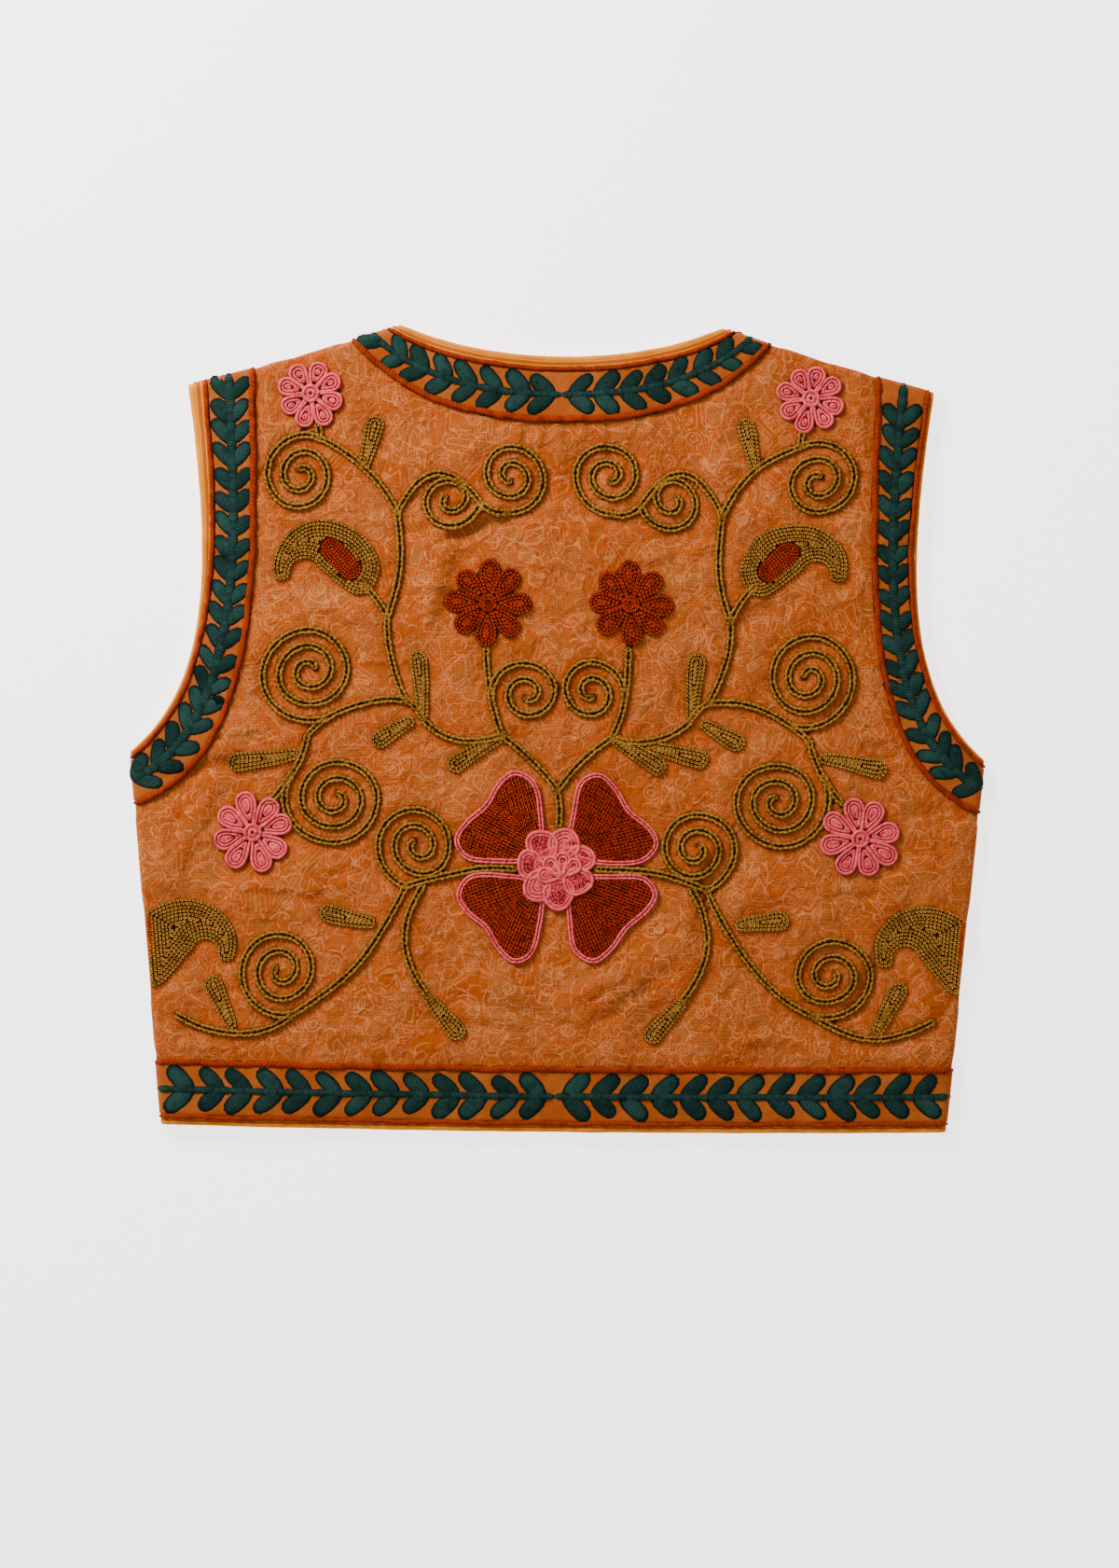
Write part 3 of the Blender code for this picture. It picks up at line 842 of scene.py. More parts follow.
def petal(centre, degrees, inner, outer, width):
    """Outline of a rounded petal that points away from the centre."""
    turn = math.radians(degrees)
    heading = np.array((math.cos(turn), math.sin(turn)))
    across = np.array((-heading[1], heading[0]))
    reach = outer - inner
    half = (
        (0.0, 0.16), (0.25, 0.5), (0.5, 0.86), (0.74, 1.0), (0.92, 0.72), (1.0, 0.0),
    )
    right = [inner * heading + reach * a * heading + width / 2 * b * across for a, b in half]
    left = [inner * heading + reach * a * heading - width / 2 * b * across for a, b in half[-2::-1]]
    return np.asarray(centre) + loop(right + left, 0.6)


VINE_WIDTH = 4.4
VINE_PITCH = 3.1


def beside(line, offset):
    """A line that runs beside another."""
    heading = np.gradient(line, axis=0)
    heading /= np.maximum(np.linalg.norm(heading, axis=1), 1e-9)[:, None]
    return line + offset * np.stack((-heading[:, 1], heading[:, 0]), axis=1)


def stitch_vine(line):
    """A heavy chain: two strands that part round each hole and meet between the holes."""
    run = run_length(line)
    drift = 1.1 * np.sin(run * 0.29 + line[0, 0]) + 0.7 * np.sin(run * 0.83)
    part = np.abs(np.sin(math.pi * run / VINE_PITCH + drift))
    for side in (-1.0, 1.0):
        strand = beside(line, (side * (0.78 + 0.78 * part))[:, None])
        vine_back.cord(strand, 1.8, 1.7, sides=6, step=0.9, lump=0.22)
    ends, directions = walk(line, np.array((0.6, run[-1] - 0.6)))
    vine_back.stamp(FINE_LINK, ends, directions, 3.4, 3.8, 1.6)
    mark_stitched(line, VINE_WIDTH / 2)


olive_back = Needlework("back")
vine_back = Needlework("back")
vine_lines = [stem(*row) for row in STEMS] + [scroll(*row) for row in SCROLLS]
for line in vine_lines:
    for vine in (line, mirrored(line)):
        stitch_vine(hand_drift(vine))
stitch_vine(stem((0, -35), (1, -56), 0.05))
for row in LEAVES:
    outline = leaf(*row)
    for side_outline in (outline, mirrored(outline)):
        fill(olive_back, hand_drift(side_outline), 1.5)
# One more leaf, which only the right half has.
fill(olive_back, hand_drift(leaf((50, -10), -10, 36)), 1.5)

rust_back = Needlework("back")
# A paisley has a base, a direction in degrees, a size and how far its tail curls in degrees.
BACK_PAISLEY = ((-110, 75), 102, 76, 165)
SIDE_PAISLEY = ((-226, -146), 94, 82, -185)
SEED_MARGIN = 0.7
paisley_outline, paisley_seed = paisley(*BACK_PAISLEY)
for flip in (lambda line: line, mirrored):
    seed = hand_drift(flip(paisley_seed))
    seed_tree = tree_of(seed)
    seed_middle = seed.mean(axis=0)
    outline = hand_drift(flip(paisley_outline))
    for row in rows_inside(outline, 0.95, 1.95):
        stretch = []
        for point in row:
            near, index, gap = seed_tree.find((point[0], point[1], 0.0))
            edge = seed[index]
            outside = np.linalg.norm(point - seed_middle) > np.linalg.norm(edge - seed_middle)
            if outside and gap > SEED_MARGIN:
                stretch.append(point)
                continue
            if len(stretch) > 2:
                chain(olive_back, np.array(stretch), 2.15, 2.25, 1.6, FINE_LINK)
            stretch = []
        if len(stretch) > 2:
            chain(olive_back, np.array(stretch), 2.15, 2.25, 1.6, FINE_LINK)
    mark_stitched(closed_up(outline), 0.0)
    mark_filled(outline)
    for row in rows_inside(seed, 0.8, 1.6):
        chain(rust_back, row, 1.8, 1.8, 1.5, FINE_LINK)

olive_fronts = {-1: Needlework("front"), 1: Needlework("front")}
for side in (-1, 1):
    outline = paisley(*SIDE_PAISLEY)[0]
    outline[:, 0] = np.maximum(outline[:, 0], 1.0 - seam_reach(outline[:, 1]))
    outline = outline if side < 0 else mirrored(outline)
    fill(olive_back, outline, 1.6)
    for row in rows_inside(outline, 0.95, 1.95):
        chain(olive_fronts[side], row, 2.2, 2.0, 1.4, FINE_LINK)
    heights = np.linspace(-106.0, -130.0, 5)
    sliver = flow(np.stack((2.6 - seam_reach(heights), heights), axis=1))
    sliver = sliver if side < 0 else mirrored(sliver)
    chain(rust_back, sliver, 3.4, 2.0, 1.8, FINE_LINK)

# The flowers: eight petals round a small ring, in pink or rust, and the great flower of four.
PETALS = 8
pink_back = Needlework("back")


def ring(centre, radius):
    turn = np.linspace(0.0, 2 * math.pi, 24, endpoint=False)
    return np.asarray(centre) + radius * np.stack((np.cos(turn), np.sin(turn)), axis=1)


def flower(work, centre, reach, first, width, corded):
    """Eight petals of cord or chain laid round and round, then a ring and a knot in the middle."""
    drift = stitch_chance.uniform(-4.0, 4.0, PETALS)
    directions = first + 360.0 / PETALS * np.arange(PETALS) + drift
    for degrees, share in zip(directions, stitch_chance.uniform(0.94, 1.05, PETALS)):
        outline = petal(centre, degrees, 3.2, (reach - 1.0) * share, width)
        if corded:
            work.cord(outline, 2.05, 2.0, sides=6, closed=True)
        else:
            chain(work, closed_up(outline), 2.2, 2.1, 2.0, FINE_LINK)
        for row in rows_inside(outline, 1.9, 1.75):
            if corded:
                work.cord(row, 1.75, 1.7, sides=6)
            else:
                chain(work, row, 1.9, 2.1, 1.7, FINE_LINK)
        mark_stitched(outline, 0.9)
        mark_filled(outline)
    if corded:
        work.cord(ring(centre, 4.3), 2.0, 2.4, closed=True)
        work.cord(ring(centre, 1.8), 2.2, 2.2, closed=True, step=0.9)
    else:
        for radius in (4.3, 2.2):
            chain(work, closed_up(ring(centre, radius)), 2.1, 1.9, 2.2, FINE_LINK)


for side in (-1, 1):
    for work, x, y, reach, first, width in (
        # thread, place, reach, direction of the first petal, width of a petal
        (pink_back, 140.0, 186.0, 19.5, 30.0, 9.0),
        (pink_back, 170.0, -60.0, 23.0, 15.0, 10.4),
        (rust_back, 40.0, 70.0, 24.5, 0.0, 10.2),
    ):
        flower(work, (side * x, y), reach, first, width, work is pink_back)


GREAT_CENTRE = np.array((0.0, -78.0))
GREAT_DIRECTIONS = (140.0, 221.0)
GREAT_SPREAD = 36.0
GREAT_REACH = 57.0
ARC_PITCH = 2.15
KNOT_PITCH = 1.75
EDGE_MARGIN = 1.2
SHADED_SIDE = 0.35
EDGING_OFFSET = 0.85


def great_petal(degrees):
    """Outline of a great petal: narrow by the middle, with two lobes on its far edge."""
    aside = np.array((0.0, 0.4, 0.72, 0.96, 0.9, 0.5)) * GREAT_SPREAD
    far = np.array((0.9, 0.97, 1.0, 0.84, 0.5, 0.27)) * GREAT_REACH
    turn = np.radians(degrees + np.concatenate((aside, -aside[:0:-1])))
    radius = np.concatenate((far, far[:0:-1]))[:, None]
    return GREAT_CENTRE + radius * np.stack((np.cos(turn), np.sin(turn)), axis=1)


def well_inside(outline, spots, margin):
    """Which spots are inside a closed outline, and more than a margin from it."""
    edge_tree = tree_of(outline)
    ax, ay = outline[:, 0], outline[:, 1]
    bx, by = np.roll(ax, -1), np.roll(ay, -1)
    inside = np.zeros(len(spots), dtype=bool)
    for index, (px, py) in enumerate(spots):
        crosses = (ay > py) != (by > py)
        with np.errstate(divide="ignore", invalid="ignore"):
            meets = (bx - ax) * (py - ay) / (by - ay) + ax
        odd = np.sum(crosses & (px < meets)) % 2 == 1
        inside[index] = odd and edge_tree.find((px, py, 0.0))[2] >= margin
    return inside


for flip in (lambda line: line, mirrored):
    for degrees in GREAT_DIRECTIONS:
        outline = hand_drift(flip(loop(great_petal(degrees))))
        for count, radius in enumerate(np.arange(9.0, 72.0, ARC_PITCH), 1):
            step = KNOT_PITCH / radius
            turn = np.arange(0.0, 2 * math.pi, step) + 0.3 * count * step
            heading = np.stack((np.cos(turn), np.sin(turn)), axis=1)
            spots = GREAT_CENTRE + radius * heading
            inside = well_inside(outline, spots, EDGE_MARGIN)
            kept = spots[inside]
            size = stitch_chance.uniform(0.92, 1.1, len(kept))
            kept = kept + stitch_chance.normal(0.0, 0.12, kept.shape)
            # The right-hand great petals get lower tones, so less painted highlight: painted shade on
            # that side.
            rust_back.stamp(
                FINE_LINK, kept, heading[inside], 2.7, 1.75 * size, 1.7 * size,
                brightest=SHADED_SIDE if flip is mirrored else 1.0,
            )
        for offset in (-EDGING_OFFSET, EDGING_OFFSET):
            pink_back.cord(beside(outline, offset), 1.55, 1.9, sides=6, closed=True, lump=0.2)
        mark_stitched(closed_up(outline), 1.0)
        mark_filled(outline, 3.0)


# Eight rosettes heap up in the middle of the great flower, with four short petals over them.
rosettes = [(GREAT_CENTRE, 13.0, 0.0)]
for count in range(7):
    turn = math.radians(20.0 + count * 360.0 / 7.0)
    centre = GREAT_CENTRE + 14.5 * np.array((math.cos(turn), math.sin(turn)))
    rosettes.append((centre, 8.4 + 0.5 * (count % 3), 0.1 + 0.12 * count))
for count, (centre, radius, base) in enumerate(rosettes):
    turn = np.linspace(0.0, 2 * math.pi, 64, endpoint=False)
    wave = 1.0 + 0.06 * np.sin(turn * 2.0 + count) + 0.04 * np.sin(turn * 3.0 + 2.0 * count)
    spokes = np.stack((np.cos(turn), np.sin(turn)), axis=1)
    outline = centre + spokes * ((radius - 1.0) * wave)[:, None]
    pink_back.cord(outline, 2.2, 2.0, closed=True, base=base + 0.3)
    for row_count, row in enumerate(rows_inside(outline, 1.9, 1.9)):
        if row_count == 0 or count % 3 == 2:
            pink_back.cord(row, 2.0, 1.9, base=base, sides=6)
            continue
        form, faces, ridge = FINE_LINK
        raised = form + np.array((0.0, 0.0, base / 2.0))
        chain(pink_back, row, 2.2, 2.2, 2.0, (raised, faces, ridge))
    mark_stitched(outline, 1.0)
for degrees in (40.0, 85.0, 130.0, 175.0):
    outline = petal(GREAT_CENTRE + np.array((3.0, -5.0)), degrees, 0.6, 13.0, 7.6)
    pink_back.cord(outline, 2.0, 2.2, sides=6, closed=True, base=1.4)
    for row in rows_inside(outline, 1.8, 1.8):
        pink_back.cord(row, 1.8, 2.0, sides=6, base=1.2)


# ---------------------------------------------------------------------------------------------
# Thread: soft twisted wool, with painted shade in the gaps between stitches and under them, and a
# painted highlight on their crests, paler where a ply catches the light. One finish, dyed olive,
# teal, rust or pink.
def dye(red, green, blue):
    """A colour by its everyday 0 to 255 values, as the amount of light it gives back."""
    def part(value):
        share = value / 255.0
        return share / 12.92 if share <= 0.04045 else ((share + 0.055) / 1.055) ** 2.4

    return (part(red), part(green), part(blue), 1.0)


def add_node(tree, kind, inputs=None, **settings):
    node = tree.nodes.new(kind)
    for key, value in settings.items():
        setattr(node, key, value)
    for key, value in (inputs or {}).items():
        if isinstance(value, bpy.types.NodeSocket):
            tree.links.new(value, node.inputs[key])
        else:
            node.inputs[key].default_value = value
    return node


def reckon(tree, operation, *values):
    """One step of arithmetic on sockets and numbers."""
    inputs = dict(enumerate(values))
    return add_node(tree, "ShaderNodeMath", inputs, operation=operation).outputs[0]


def soft_step(tree, value, low, high):
    """0 below low, 1 above high."""
    inputs = {"Value": value, "From Min": low, "From Max": high}
    node = add_node(tree, "ShaderNodeMapRange", inputs, interpolation_type="SMOOTHSTEP")
    return node.outputs[0]


def blend_colours(tree, share, first, second, kind="MIX"):
    node = add_node(tree, "ShaderNodeMix", data_type="RGBA", blend_type=kind)
    for index, value in ((0, share), (6, first), (7, second)):
        if isinstance(value, bpy.types.NodeSocket):
            tree.links.new(value, node.inputs[index])
        else:
            node.inputs[index].default_value = value
    return node.outputs[2]


def start_group(name, inputs, outputs):
    group = bpy.data.node_groups.new(name, "ShaderNodeTree")
    for label, kind, value in inputs:
        socket = group.interface.new_socket(label, in_out="INPUT", socket_type=kind)
        if value is not None:
            socket.default_value = value
    for label, kind in outputs:
        group.interface.new_socket(label, in_out="OUTPUT", socket_type=kind)
    return group, group.nodes.new("NodeGroupInput"), group.nodes.new("NodeGroupOutput")


def place_group(tree, group, inputs):
    node = tree.nodes.new("ShaderNodeGroup")
    node.node_tree = group
    for key, value in inputs.items():
        if isinstance(value, bpy.types.NodeSocket):
            tree.links.new(value, node.inputs[key])
        else:
            node.inputs[key].default_value = value
    return node


def start_material(name, roughness, sheen=0.0, specular=0.3):
    material = bpy.data.materials.new(name)
    material.use_nodes = True
    shader = material.node_tree.nodes["Principled BSDF"]
    shader.inputs["Roughness"].default_value = roughness
    shader.inputs["Sheen Weight"].default_value = sheen
    shader.inputs["Sheen Roughness"].default_value = 0.5
    shader.inputs["Specular IOR Level"].default_value = specular
    return material, material.node_tree, shader


def millimetres(tree):
    """The place on the garment, in millimetres."""
    place = add_node(tree, "ShaderNodeTexCoord").outputs["Object"]
    inputs = {0: place, "Scale": 1000.0}
    return add_node(tree, "ShaderNodeVectorMath", inputs, operation="SCALE").outputs[0]


FLOAT, COLOUR, VECTOR = "NodeSocketFloat", "NodeSocketColor", "NodeSocketVector"
# The Gap colour is painted shade in gaps, pits and under stitches, and also darkens random patches of
# wool; the last colour is the painted highlight.
wool, wool_in, wool_out = start_group(
    "Twisted wool",
    [
        ("Place", VECTOR, None), ("Ply", VECTOR, None), ("Ridge", FLOAT, 1.0), ("Tone", FLOAT, 0.5),
        ("Body", COLOUR, None), ("Gap", COLOUR, None), ("Light", COLOUR, None),
        ("Ply pitch", FLOAT, 0.9),
    ],
    [("Colour", COLOUR), ("Height", FLOAT)],
)
fuzz = add_node(
    wool, "ShaderNodeTexNoise", {"Vector": wool_in.outputs["Place"], "Scale": 1.1, "Detail": 3.0}
).outputs[0]
patches = add_node(
    wool, "ShaderNodeTexNoise", {"Vector": wool_in.outputs["Place"], "Scale": 0.2, "Detail": 2.0}
).outputs[0]
ply_parts = add_node(wool, "ShaderNodeSeparateXYZ", {0: wool_in.outputs["Ply"]})
slant = reckon(wool, "ADD", ply_parts.outputs[1], reckon(wool, "MULTIPLY", ply_parts.outputs[0], 0.6))
ply_turn = reckon(wool, "DIVIDE", reckon(wool, "MULTIPLY", slant, 6.283), wool_in.outputs["Ply pitch"])
ply_wave = reckon(wool, "MULTIPLY_ADD", reckon(wool, "SINE", ply_turn), 0.5, 0.5)
# Ridge is 0 at a stitch's foot and in its pit and 1 on its crest; where it is low the Gap colour is
# painted in as shade.
covered = soft_step(wool, wool_in.outputs["Ridge"], 0.2, 0.9)
# Painted highlight: the crest of each stitch, and the plies along it, take the pale highlight colour.
crest = soft_step(wool, wool_in.outputs["Ridge"], 0.6, 1.0)
shade = reckon(
    wool, "ADD", reckon(wool, "MULTIPLY", wool_in.outputs["Tone"], 0.45),
    reckon(wool, "MULTIPLY_ADD", ply_wave, 0.3, reckon(wool, "MULTIPLY_ADD", fuzz, 0.9, -0.15)),
)
highlight_share = reckon(wool, "MULTIPLY", crest, soft_step(wool, shade, 0.35, 1.05))
toned = blend_colours(wool, highlight_share, wool_in.outputs["Body"], wool_in.outputs["Light"])
deep = blend_colours(
    wool, reckon(wool, "MULTIPLY", soft_step(wool, patches, 0.45, 0.75), 0.45), toned,
    wool_in.outputs["Gap"],
)
# Painted shade: the Gap colour where a stitch sinks to the cloth or into its pit.
stitched = blend_colours(wool, covered, wool_in.outputs["Gap"], deep)
wool.links.new(stitched, wool_out.inputs["Colour"])
wool_height = reckon(
    wool, "ADD", reckon(wool, "MULTIPLY", ply_wave, 0.5), reckon(wool, "MULTIPLY", fuzz, 0.6)
)
wool.links.new(wool_height, wool_out.inputs["Height"])


# body is the wool's dye; gap is the colour of painted shade in gaps and pits, also used for darker
# patches; light is the painted highlight colour.
def thread_material(name, body, gap, light, ply_pitch, depth, roughness=0.85):
    material, tree, shader = start_material(name, roughness, 0.0, 0.08)
    ply = add_node(tree, "ShaderNodeUVMap", uv_map="Thread").outputs[0]
    ridge = add_node(tree, "ShaderNodeAttribute", attribute_name="ridge").outputs["Fac"]
    tone = add_node(tree, "ShaderNodeAttribute", attribute_name="tone").outputs["Fac"]
    worked = place_group(
        tree,
        wool,
        {
            "Place": millimetres(tree), "Ply": ply, "Ridge": ridge, "Tone": tone,
            "Body": dye(*body), "Gap": dye(*gap), "Light": dye(*light), "Ply pitch": ply_pitch,
        },
    )
    tree.links.new(worked.outputs["Colour"], shader.inputs["Base Color"])
    inputs = {"Height": worked.outputs["Height"], "Strength": depth, "Distance": 0.0004}
    bump = add_node(tree, "ShaderNodeBump", inputs)
    tree.links.new(bump.outputs[0], shader.inputs["Normal"])
    return material


# Each wool: body dye, painted shade colour, painted highlight colour, ply pitch, bump depth.
olive_thread = thread_material(
    "Olive wool", (183, 122, 42), (54, 31, 4), (226, 171, 82), 1.1, 0.8
)
vine_thread = thread_material(
    "Heavy olive wool", (142, 93, 26), (42, 24, 3), (172, 120, 44), 1.6, 1.0
)
rust_thread = thread_material(
    "Rust wool", (190, 50, 0), (58, 5, 0), (220, 82, 6), 1.0, 0.8
)
pink_thread = thread_material(
    "Pink wool", (224, 66, 78), (150, 14, 26), (244, 110, 110), 1.2, 0.8
)
teal_thread = thread_material(
    "Teal wool", (14, 36, 32), (3, 13, 12), (36, 68, 60), 1.5, 1.2
)

for work, name, material, slot in (
    (vine_back, "back_vines", vine_thread, "olive_thread"),
    (olive_back, "back_leaves", olive_thread, "olive_thread"),
    (rust_back, "back_rust_flowers", rust_thread, "rust_thread"),
    (pink_back, "back_pink_flowers", pink_thread, "pink_thread"),
    (olive_fronts[-1], "front_left_paisley", olive_thread, "olive_thread"),
    (olive_fronts[1], "front_right_paisley", olive_thread, "olive_thread"),
):
    piece = work.finish(name, material)
    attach(piece, "root")


# ---------------------------------------------------------------------------------------------
# The panels: one back and two fronts of a thin printed cotton, lined with yellow satin. The
# print is a pale line drawing of loops, rings and hatching. The back puckers round its stitching,
# and painted shade darkens the cloth next to the stitching.
CLOTH_WALL = 1.0
GRID_PITCH = 2.15
PUFF = 0.75

weave, weave_in, weave_out = start_group(
    "Plain weave",
    [("Place", VECTOR, None), ("Pitch", FLOAT, 1.0)],
    [("Height", FLOAT), ("Shade", FLOAT)],
)
weave_parts = add_node(weave, "ShaderNodeSeparateXYZ", {0: weave_in.outputs["Place"]})
turn_rate = reckon(weave, "DIVIDE", 3.1416, weave_in.outputs["Pitch"])
warp = reckon(weave, "SINE", reckon(weave, "MULTIPLY", weave_parts.outputs[0], turn_rate))
weft = reckon(weave, "SINE", reckon(weave, "MULTIPLY", weave_parts.outputs[1], turn_rate))
crossing = reckon(weave, "MULTIPLY", warp, weft)
slub = add_node(
    weave, "ShaderNodeTexNoise", {"Vector": weave_in.outputs["Place"], "Scale": 0.9, "Detail": 2.0}
).outputs[0]
weave_height = reckon(
    weave, "ADD", reckon(weave, "MULTIPLY", reckon(weave, "ABSOLUTE", crossing), 0.6), slub
)
weave.links.new(weave_height, weave_out.inputs["Height"])
weave.links.new(
    reckon(weave, "MULTIPLY_ADD", crossing, 0.35, reckon(weave, "MULTIPLY", slub, 1.0)),
    weave_out.inputs["Shade"],
)

doodle, doodle_in, doodle_out = start_group(
    "Line print", [("Place", VECTOR, None)],
    [("Line", FLOAT), ("Halo", FLOAT), ("Fleck", FLOAT), ("Cell", FLOAT)],
)


def bent(place, scale, amount):
    """Places pushed about by a soft noise, so straight figures come out hand-drawn."""
    inputs = {"Vector": place, "Scale": scale, "Detail": 0.7}
    noise = add_node(doodle, "ShaderNodeTexNoise", inputs).outputs[1]
    inputs = {0: noise, 1: (0.5, 0.5, 0.5)}
    centred = add_node(doodle, "ShaderNodeVectorMath", inputs, operation="SUBTRACT").outputs[0]
    inputs = {0: centred, "Scale": amount}
    push = add_node(doodle, "ShaderNodeVectorMath", inputs, operation="SCALE").outputs[0]
    return add_node(doodle, "ShaderNodeVectorMath", {0: place, 1: push}, operation="ADD").outputs[0]


def stroke(distance, width):
    """1 on a drawn line and 0 away from it."""
    return reckon(doodle, "SUBTRACT", 1.0, soft_step(doodle, distance, width * 0.45, width))


place = doodle_in.outputs["Place"]
flat_parts = add_node(doodle, "ShaderNodeSeparateXYZ", {0: place})
flat = add_node(
    doodle, "ShaderNodeCombineXYZ", {0: flat_parts.outputs[0], 1: flat_parts.outputs[1], 2: 0.0}
).outputs[0]
bent_far = bent(flat, 0.03, 13.0)
bent_near = bent(flat, 0.05, 6.0)
breaks = add_node(
    doodle, "ShaderNodeTexNoise", {"Vector": flat, "Scale": 0.11, "Detail": 1.0}
).outputs[0]

CELL = 13.0
cell_edge = add_node(
    doodle, "ShaderNodeTexVoronoi", {"Vector": bent_far, "Scale": 1.0 / CELL},
    feature="DISTANCE_TO_EDGE", voronoi_dimensions="2D",
)
edge_distance = reckon(doodle, "MULTIPLY", cell_edge.outputs["Distance"], CELL)
cells = add_node(
    doodle, "ShaderNodeTexVoronoi", {"Vector": bent_far, "Scale": 1.0 / CELL},
    voronoi_dimensions="2D",
)
cell_kind = add_node(doodle, "ShaderNodeSeparateColor", {0: cells.outputs["Color"]})
edge_line = reckon(
    doodle, "MULTIPLY", stroke(edge_distance, 0.46),
    reckon(doodle, "SUBTRACT", 1.0, soft_step(doodle, breaks, 0.48, 0.52)),
)
inner_loop = reckon(doodle, "ABSOLUTE", reckon(doodle, "SUBTRACT", edge_distance, 2.4))
loop_line = reckon(
    doodle, "MULTIPLY", stroke(inner_loop, 0.48),
    reckon(doodle, "GREATER_THAN", cell_kind.outputs[0], 0.6),
)

RING_CELL = 11.0
rings = add_node(
    doodle, "ShaderNodeTexVoronoi", {"Vector": bent_near, "Scale": 1.0 / RING_CELL, "Randomness": 0.9},
    voronoi_dimensions="2D",
)
ring_kind = add_node(doodle, "ShaderNodeSeparateColor", {0: rings.outputs["Color"]})
ring_distance = reckon(doodle, "MULTIPLY", rings.outputs["Distance"], RING_CELL)
ring_size = reckon(doodle, "MULTIPLY_ADD", ring_kind.outputs[0], 3.0, 1.4)
ring_gap = reckon(doodle, "ABSOLUTE", reckon(doodle, "SUBTRACT", ring_distance, ring_size))
inner_gap = reckon(
    doodle, "ABSOLUTE",
    reckon(doodle, "SUBTRACT", ring_distance, reckon(doodle, "MULTIPLY", ring_size, 0.45)),
)
both_rings = reckon(doodle, "MINIMUM", ring_gap, inner_gap)
ring_line = reckon(
    doodle, "MULTIPLY", stroke(both_rings, 0.48),
    reckon(doodle, "GREATER_THAN", ring_kind.outputs[1], 0.7),
)


def hooks(place, cell, smallest, spread):
    """Half rings of many sizes, each open on a side of its own."""
    spots = add_node(
        doodle, "ShaderNodeTexVoronoi", {"Vector": place, "Scale": 1.0 / cell},
        voronoi_dimensions="2D",
    )
    kind = add_node(doodle, "ShaderNodeSeparateColor", {0: spots.outputs["Color"]})
    inputs = {0: place, 1: spots.outputs["Position"]}
    off = add_node(doodle, "ShaderNodeVectorMath", inputs, operation="SUBTRACT").outputs[0]
    off_parts = add_node(doodle, "ShaderNodeSeparateXYZ", {0: off})
    turn = reckon(doodle, "MULTIPLY", kind.outputs[1], 6.283)
    lean = reckon(
        doodle, "ADD",
        reckon(doodle, "MULTIPLY", off_parts.outputs[0], reckon(doodle, "COSINE", turn)),
        reckon(doodle, "MULTIPLY", off_parts.outputs[1], reckon(doodle, "SINE", turn)),
    )
    size = reckon(doodle, "MULTIPLY_ADD", kind.outputs[0], spread, smallest)
    distance = reckon(doodle, "MULTIPLY", spots.outputs["Distance"], cell)
    gap = reckon(doodle, "ABSOLUTE", reckon(doodle, "SUBTRACT", distance, size))
    return reckon(doodle, "MULTIPLY", stroke(gap, 0.48), soft_step(doodle, lean, 0.2, 0.6))


hook_line = reckon(
    doodle, "MAXIMUM", hooks(bent_far, 16.0, 3.0, 5.0), hooks(bent_near, 11.0, 1.6, 3.4)
)

hatch_place = add_node(doodle, "ShaderNodeSeparateXYZ", {0: bent_near})
hatch_slant = reckon(
    doodle, "MULTIPLY_ADD", hatch_place.outputs[1],
    reckon(doodle, "MULTIPLY_ADD", cell_kind.outputs[1], 4.0, -2.0), hatch_place.outputs[0],
)
hatch_wave = reckon(doodle, "SINE", reckon(doodle, "MULTIPLY", hatch_slant, 2.4))
hatch_line = reckon(
    doodle, "MULTIPLY", soft_step(doodle, hatch_wave, 0.45, 0.95),
    reckon(doodle, "GREATER_THAN", cell_kind.outputs[2], 0.80),
)
hatch_line = reckon(doodle, "MULTIPLY", hatch_line, soft_step(doodle, edge_distance, 1.0, 1.8))

meander = add_node(
    doodle, "ShaderNodeTexNoise", {"Vector": bent_near, "Scale": 0.032, "Detail": 0.6}
).outputs[0]
meander_turn = reckon(doodle, "FRACT", reckon(doodle, "MULTIPLY", meander, 7.0))
meander_gap = reckon(doodle, "ABSOLUTE", reckon(doodle, "SUBTRACT", meander_turn, 0.5))
meander_line = reckon(
    doodle, "MULTIPLY", stroke(meander_gap, 0.03), soft_step(doodle, breaks, 0.50, 0.54)
)

stipple = add_node(
    doodle, "ShaderNodeTexVoronoi", {"Vector": flat, "Scale": 0.62, "Randomness": 0.5},
    voronoi_dimensions="2D",
)
dots = reckon(doodle, "SUBTRACT", 1.0, soft_step(doodle, stipple.outputs["Distance"], 0.20, 0.42))
dots = reckon(
    doodle, "MULTIPLY", dots, reckon(doodle, "LESS_THAN", cell_kind.outputs[2], 0.66)
)

dash_place = add_node(doodle, "ShaderNodeMapping", {"Vector": bent_far, "Scale": (0.16, 0.07, 1.0)})
dashes = add_node(
    doodle, "ShaderNodeTexVoronoi", {"Vector": dash_place.outputs[0], "Scale": 1.0},
    voronoi_dimensions="2D",
)
dash_kind = add_node(doodle, "ShaderNodeSeparateColor", {0: dashes.outputs["Color"]})
dash = reckon(
    doodle, "MULTIPLY",
    reckon(doodle, "SUBTRACT", 1.0, soft_step(doodle, dashes.outputs["Distance"], 0.06, 0.13)),
    reckon(doodle, "GREATER_THAN", dash_kind.outputs[0], 0.4),
)

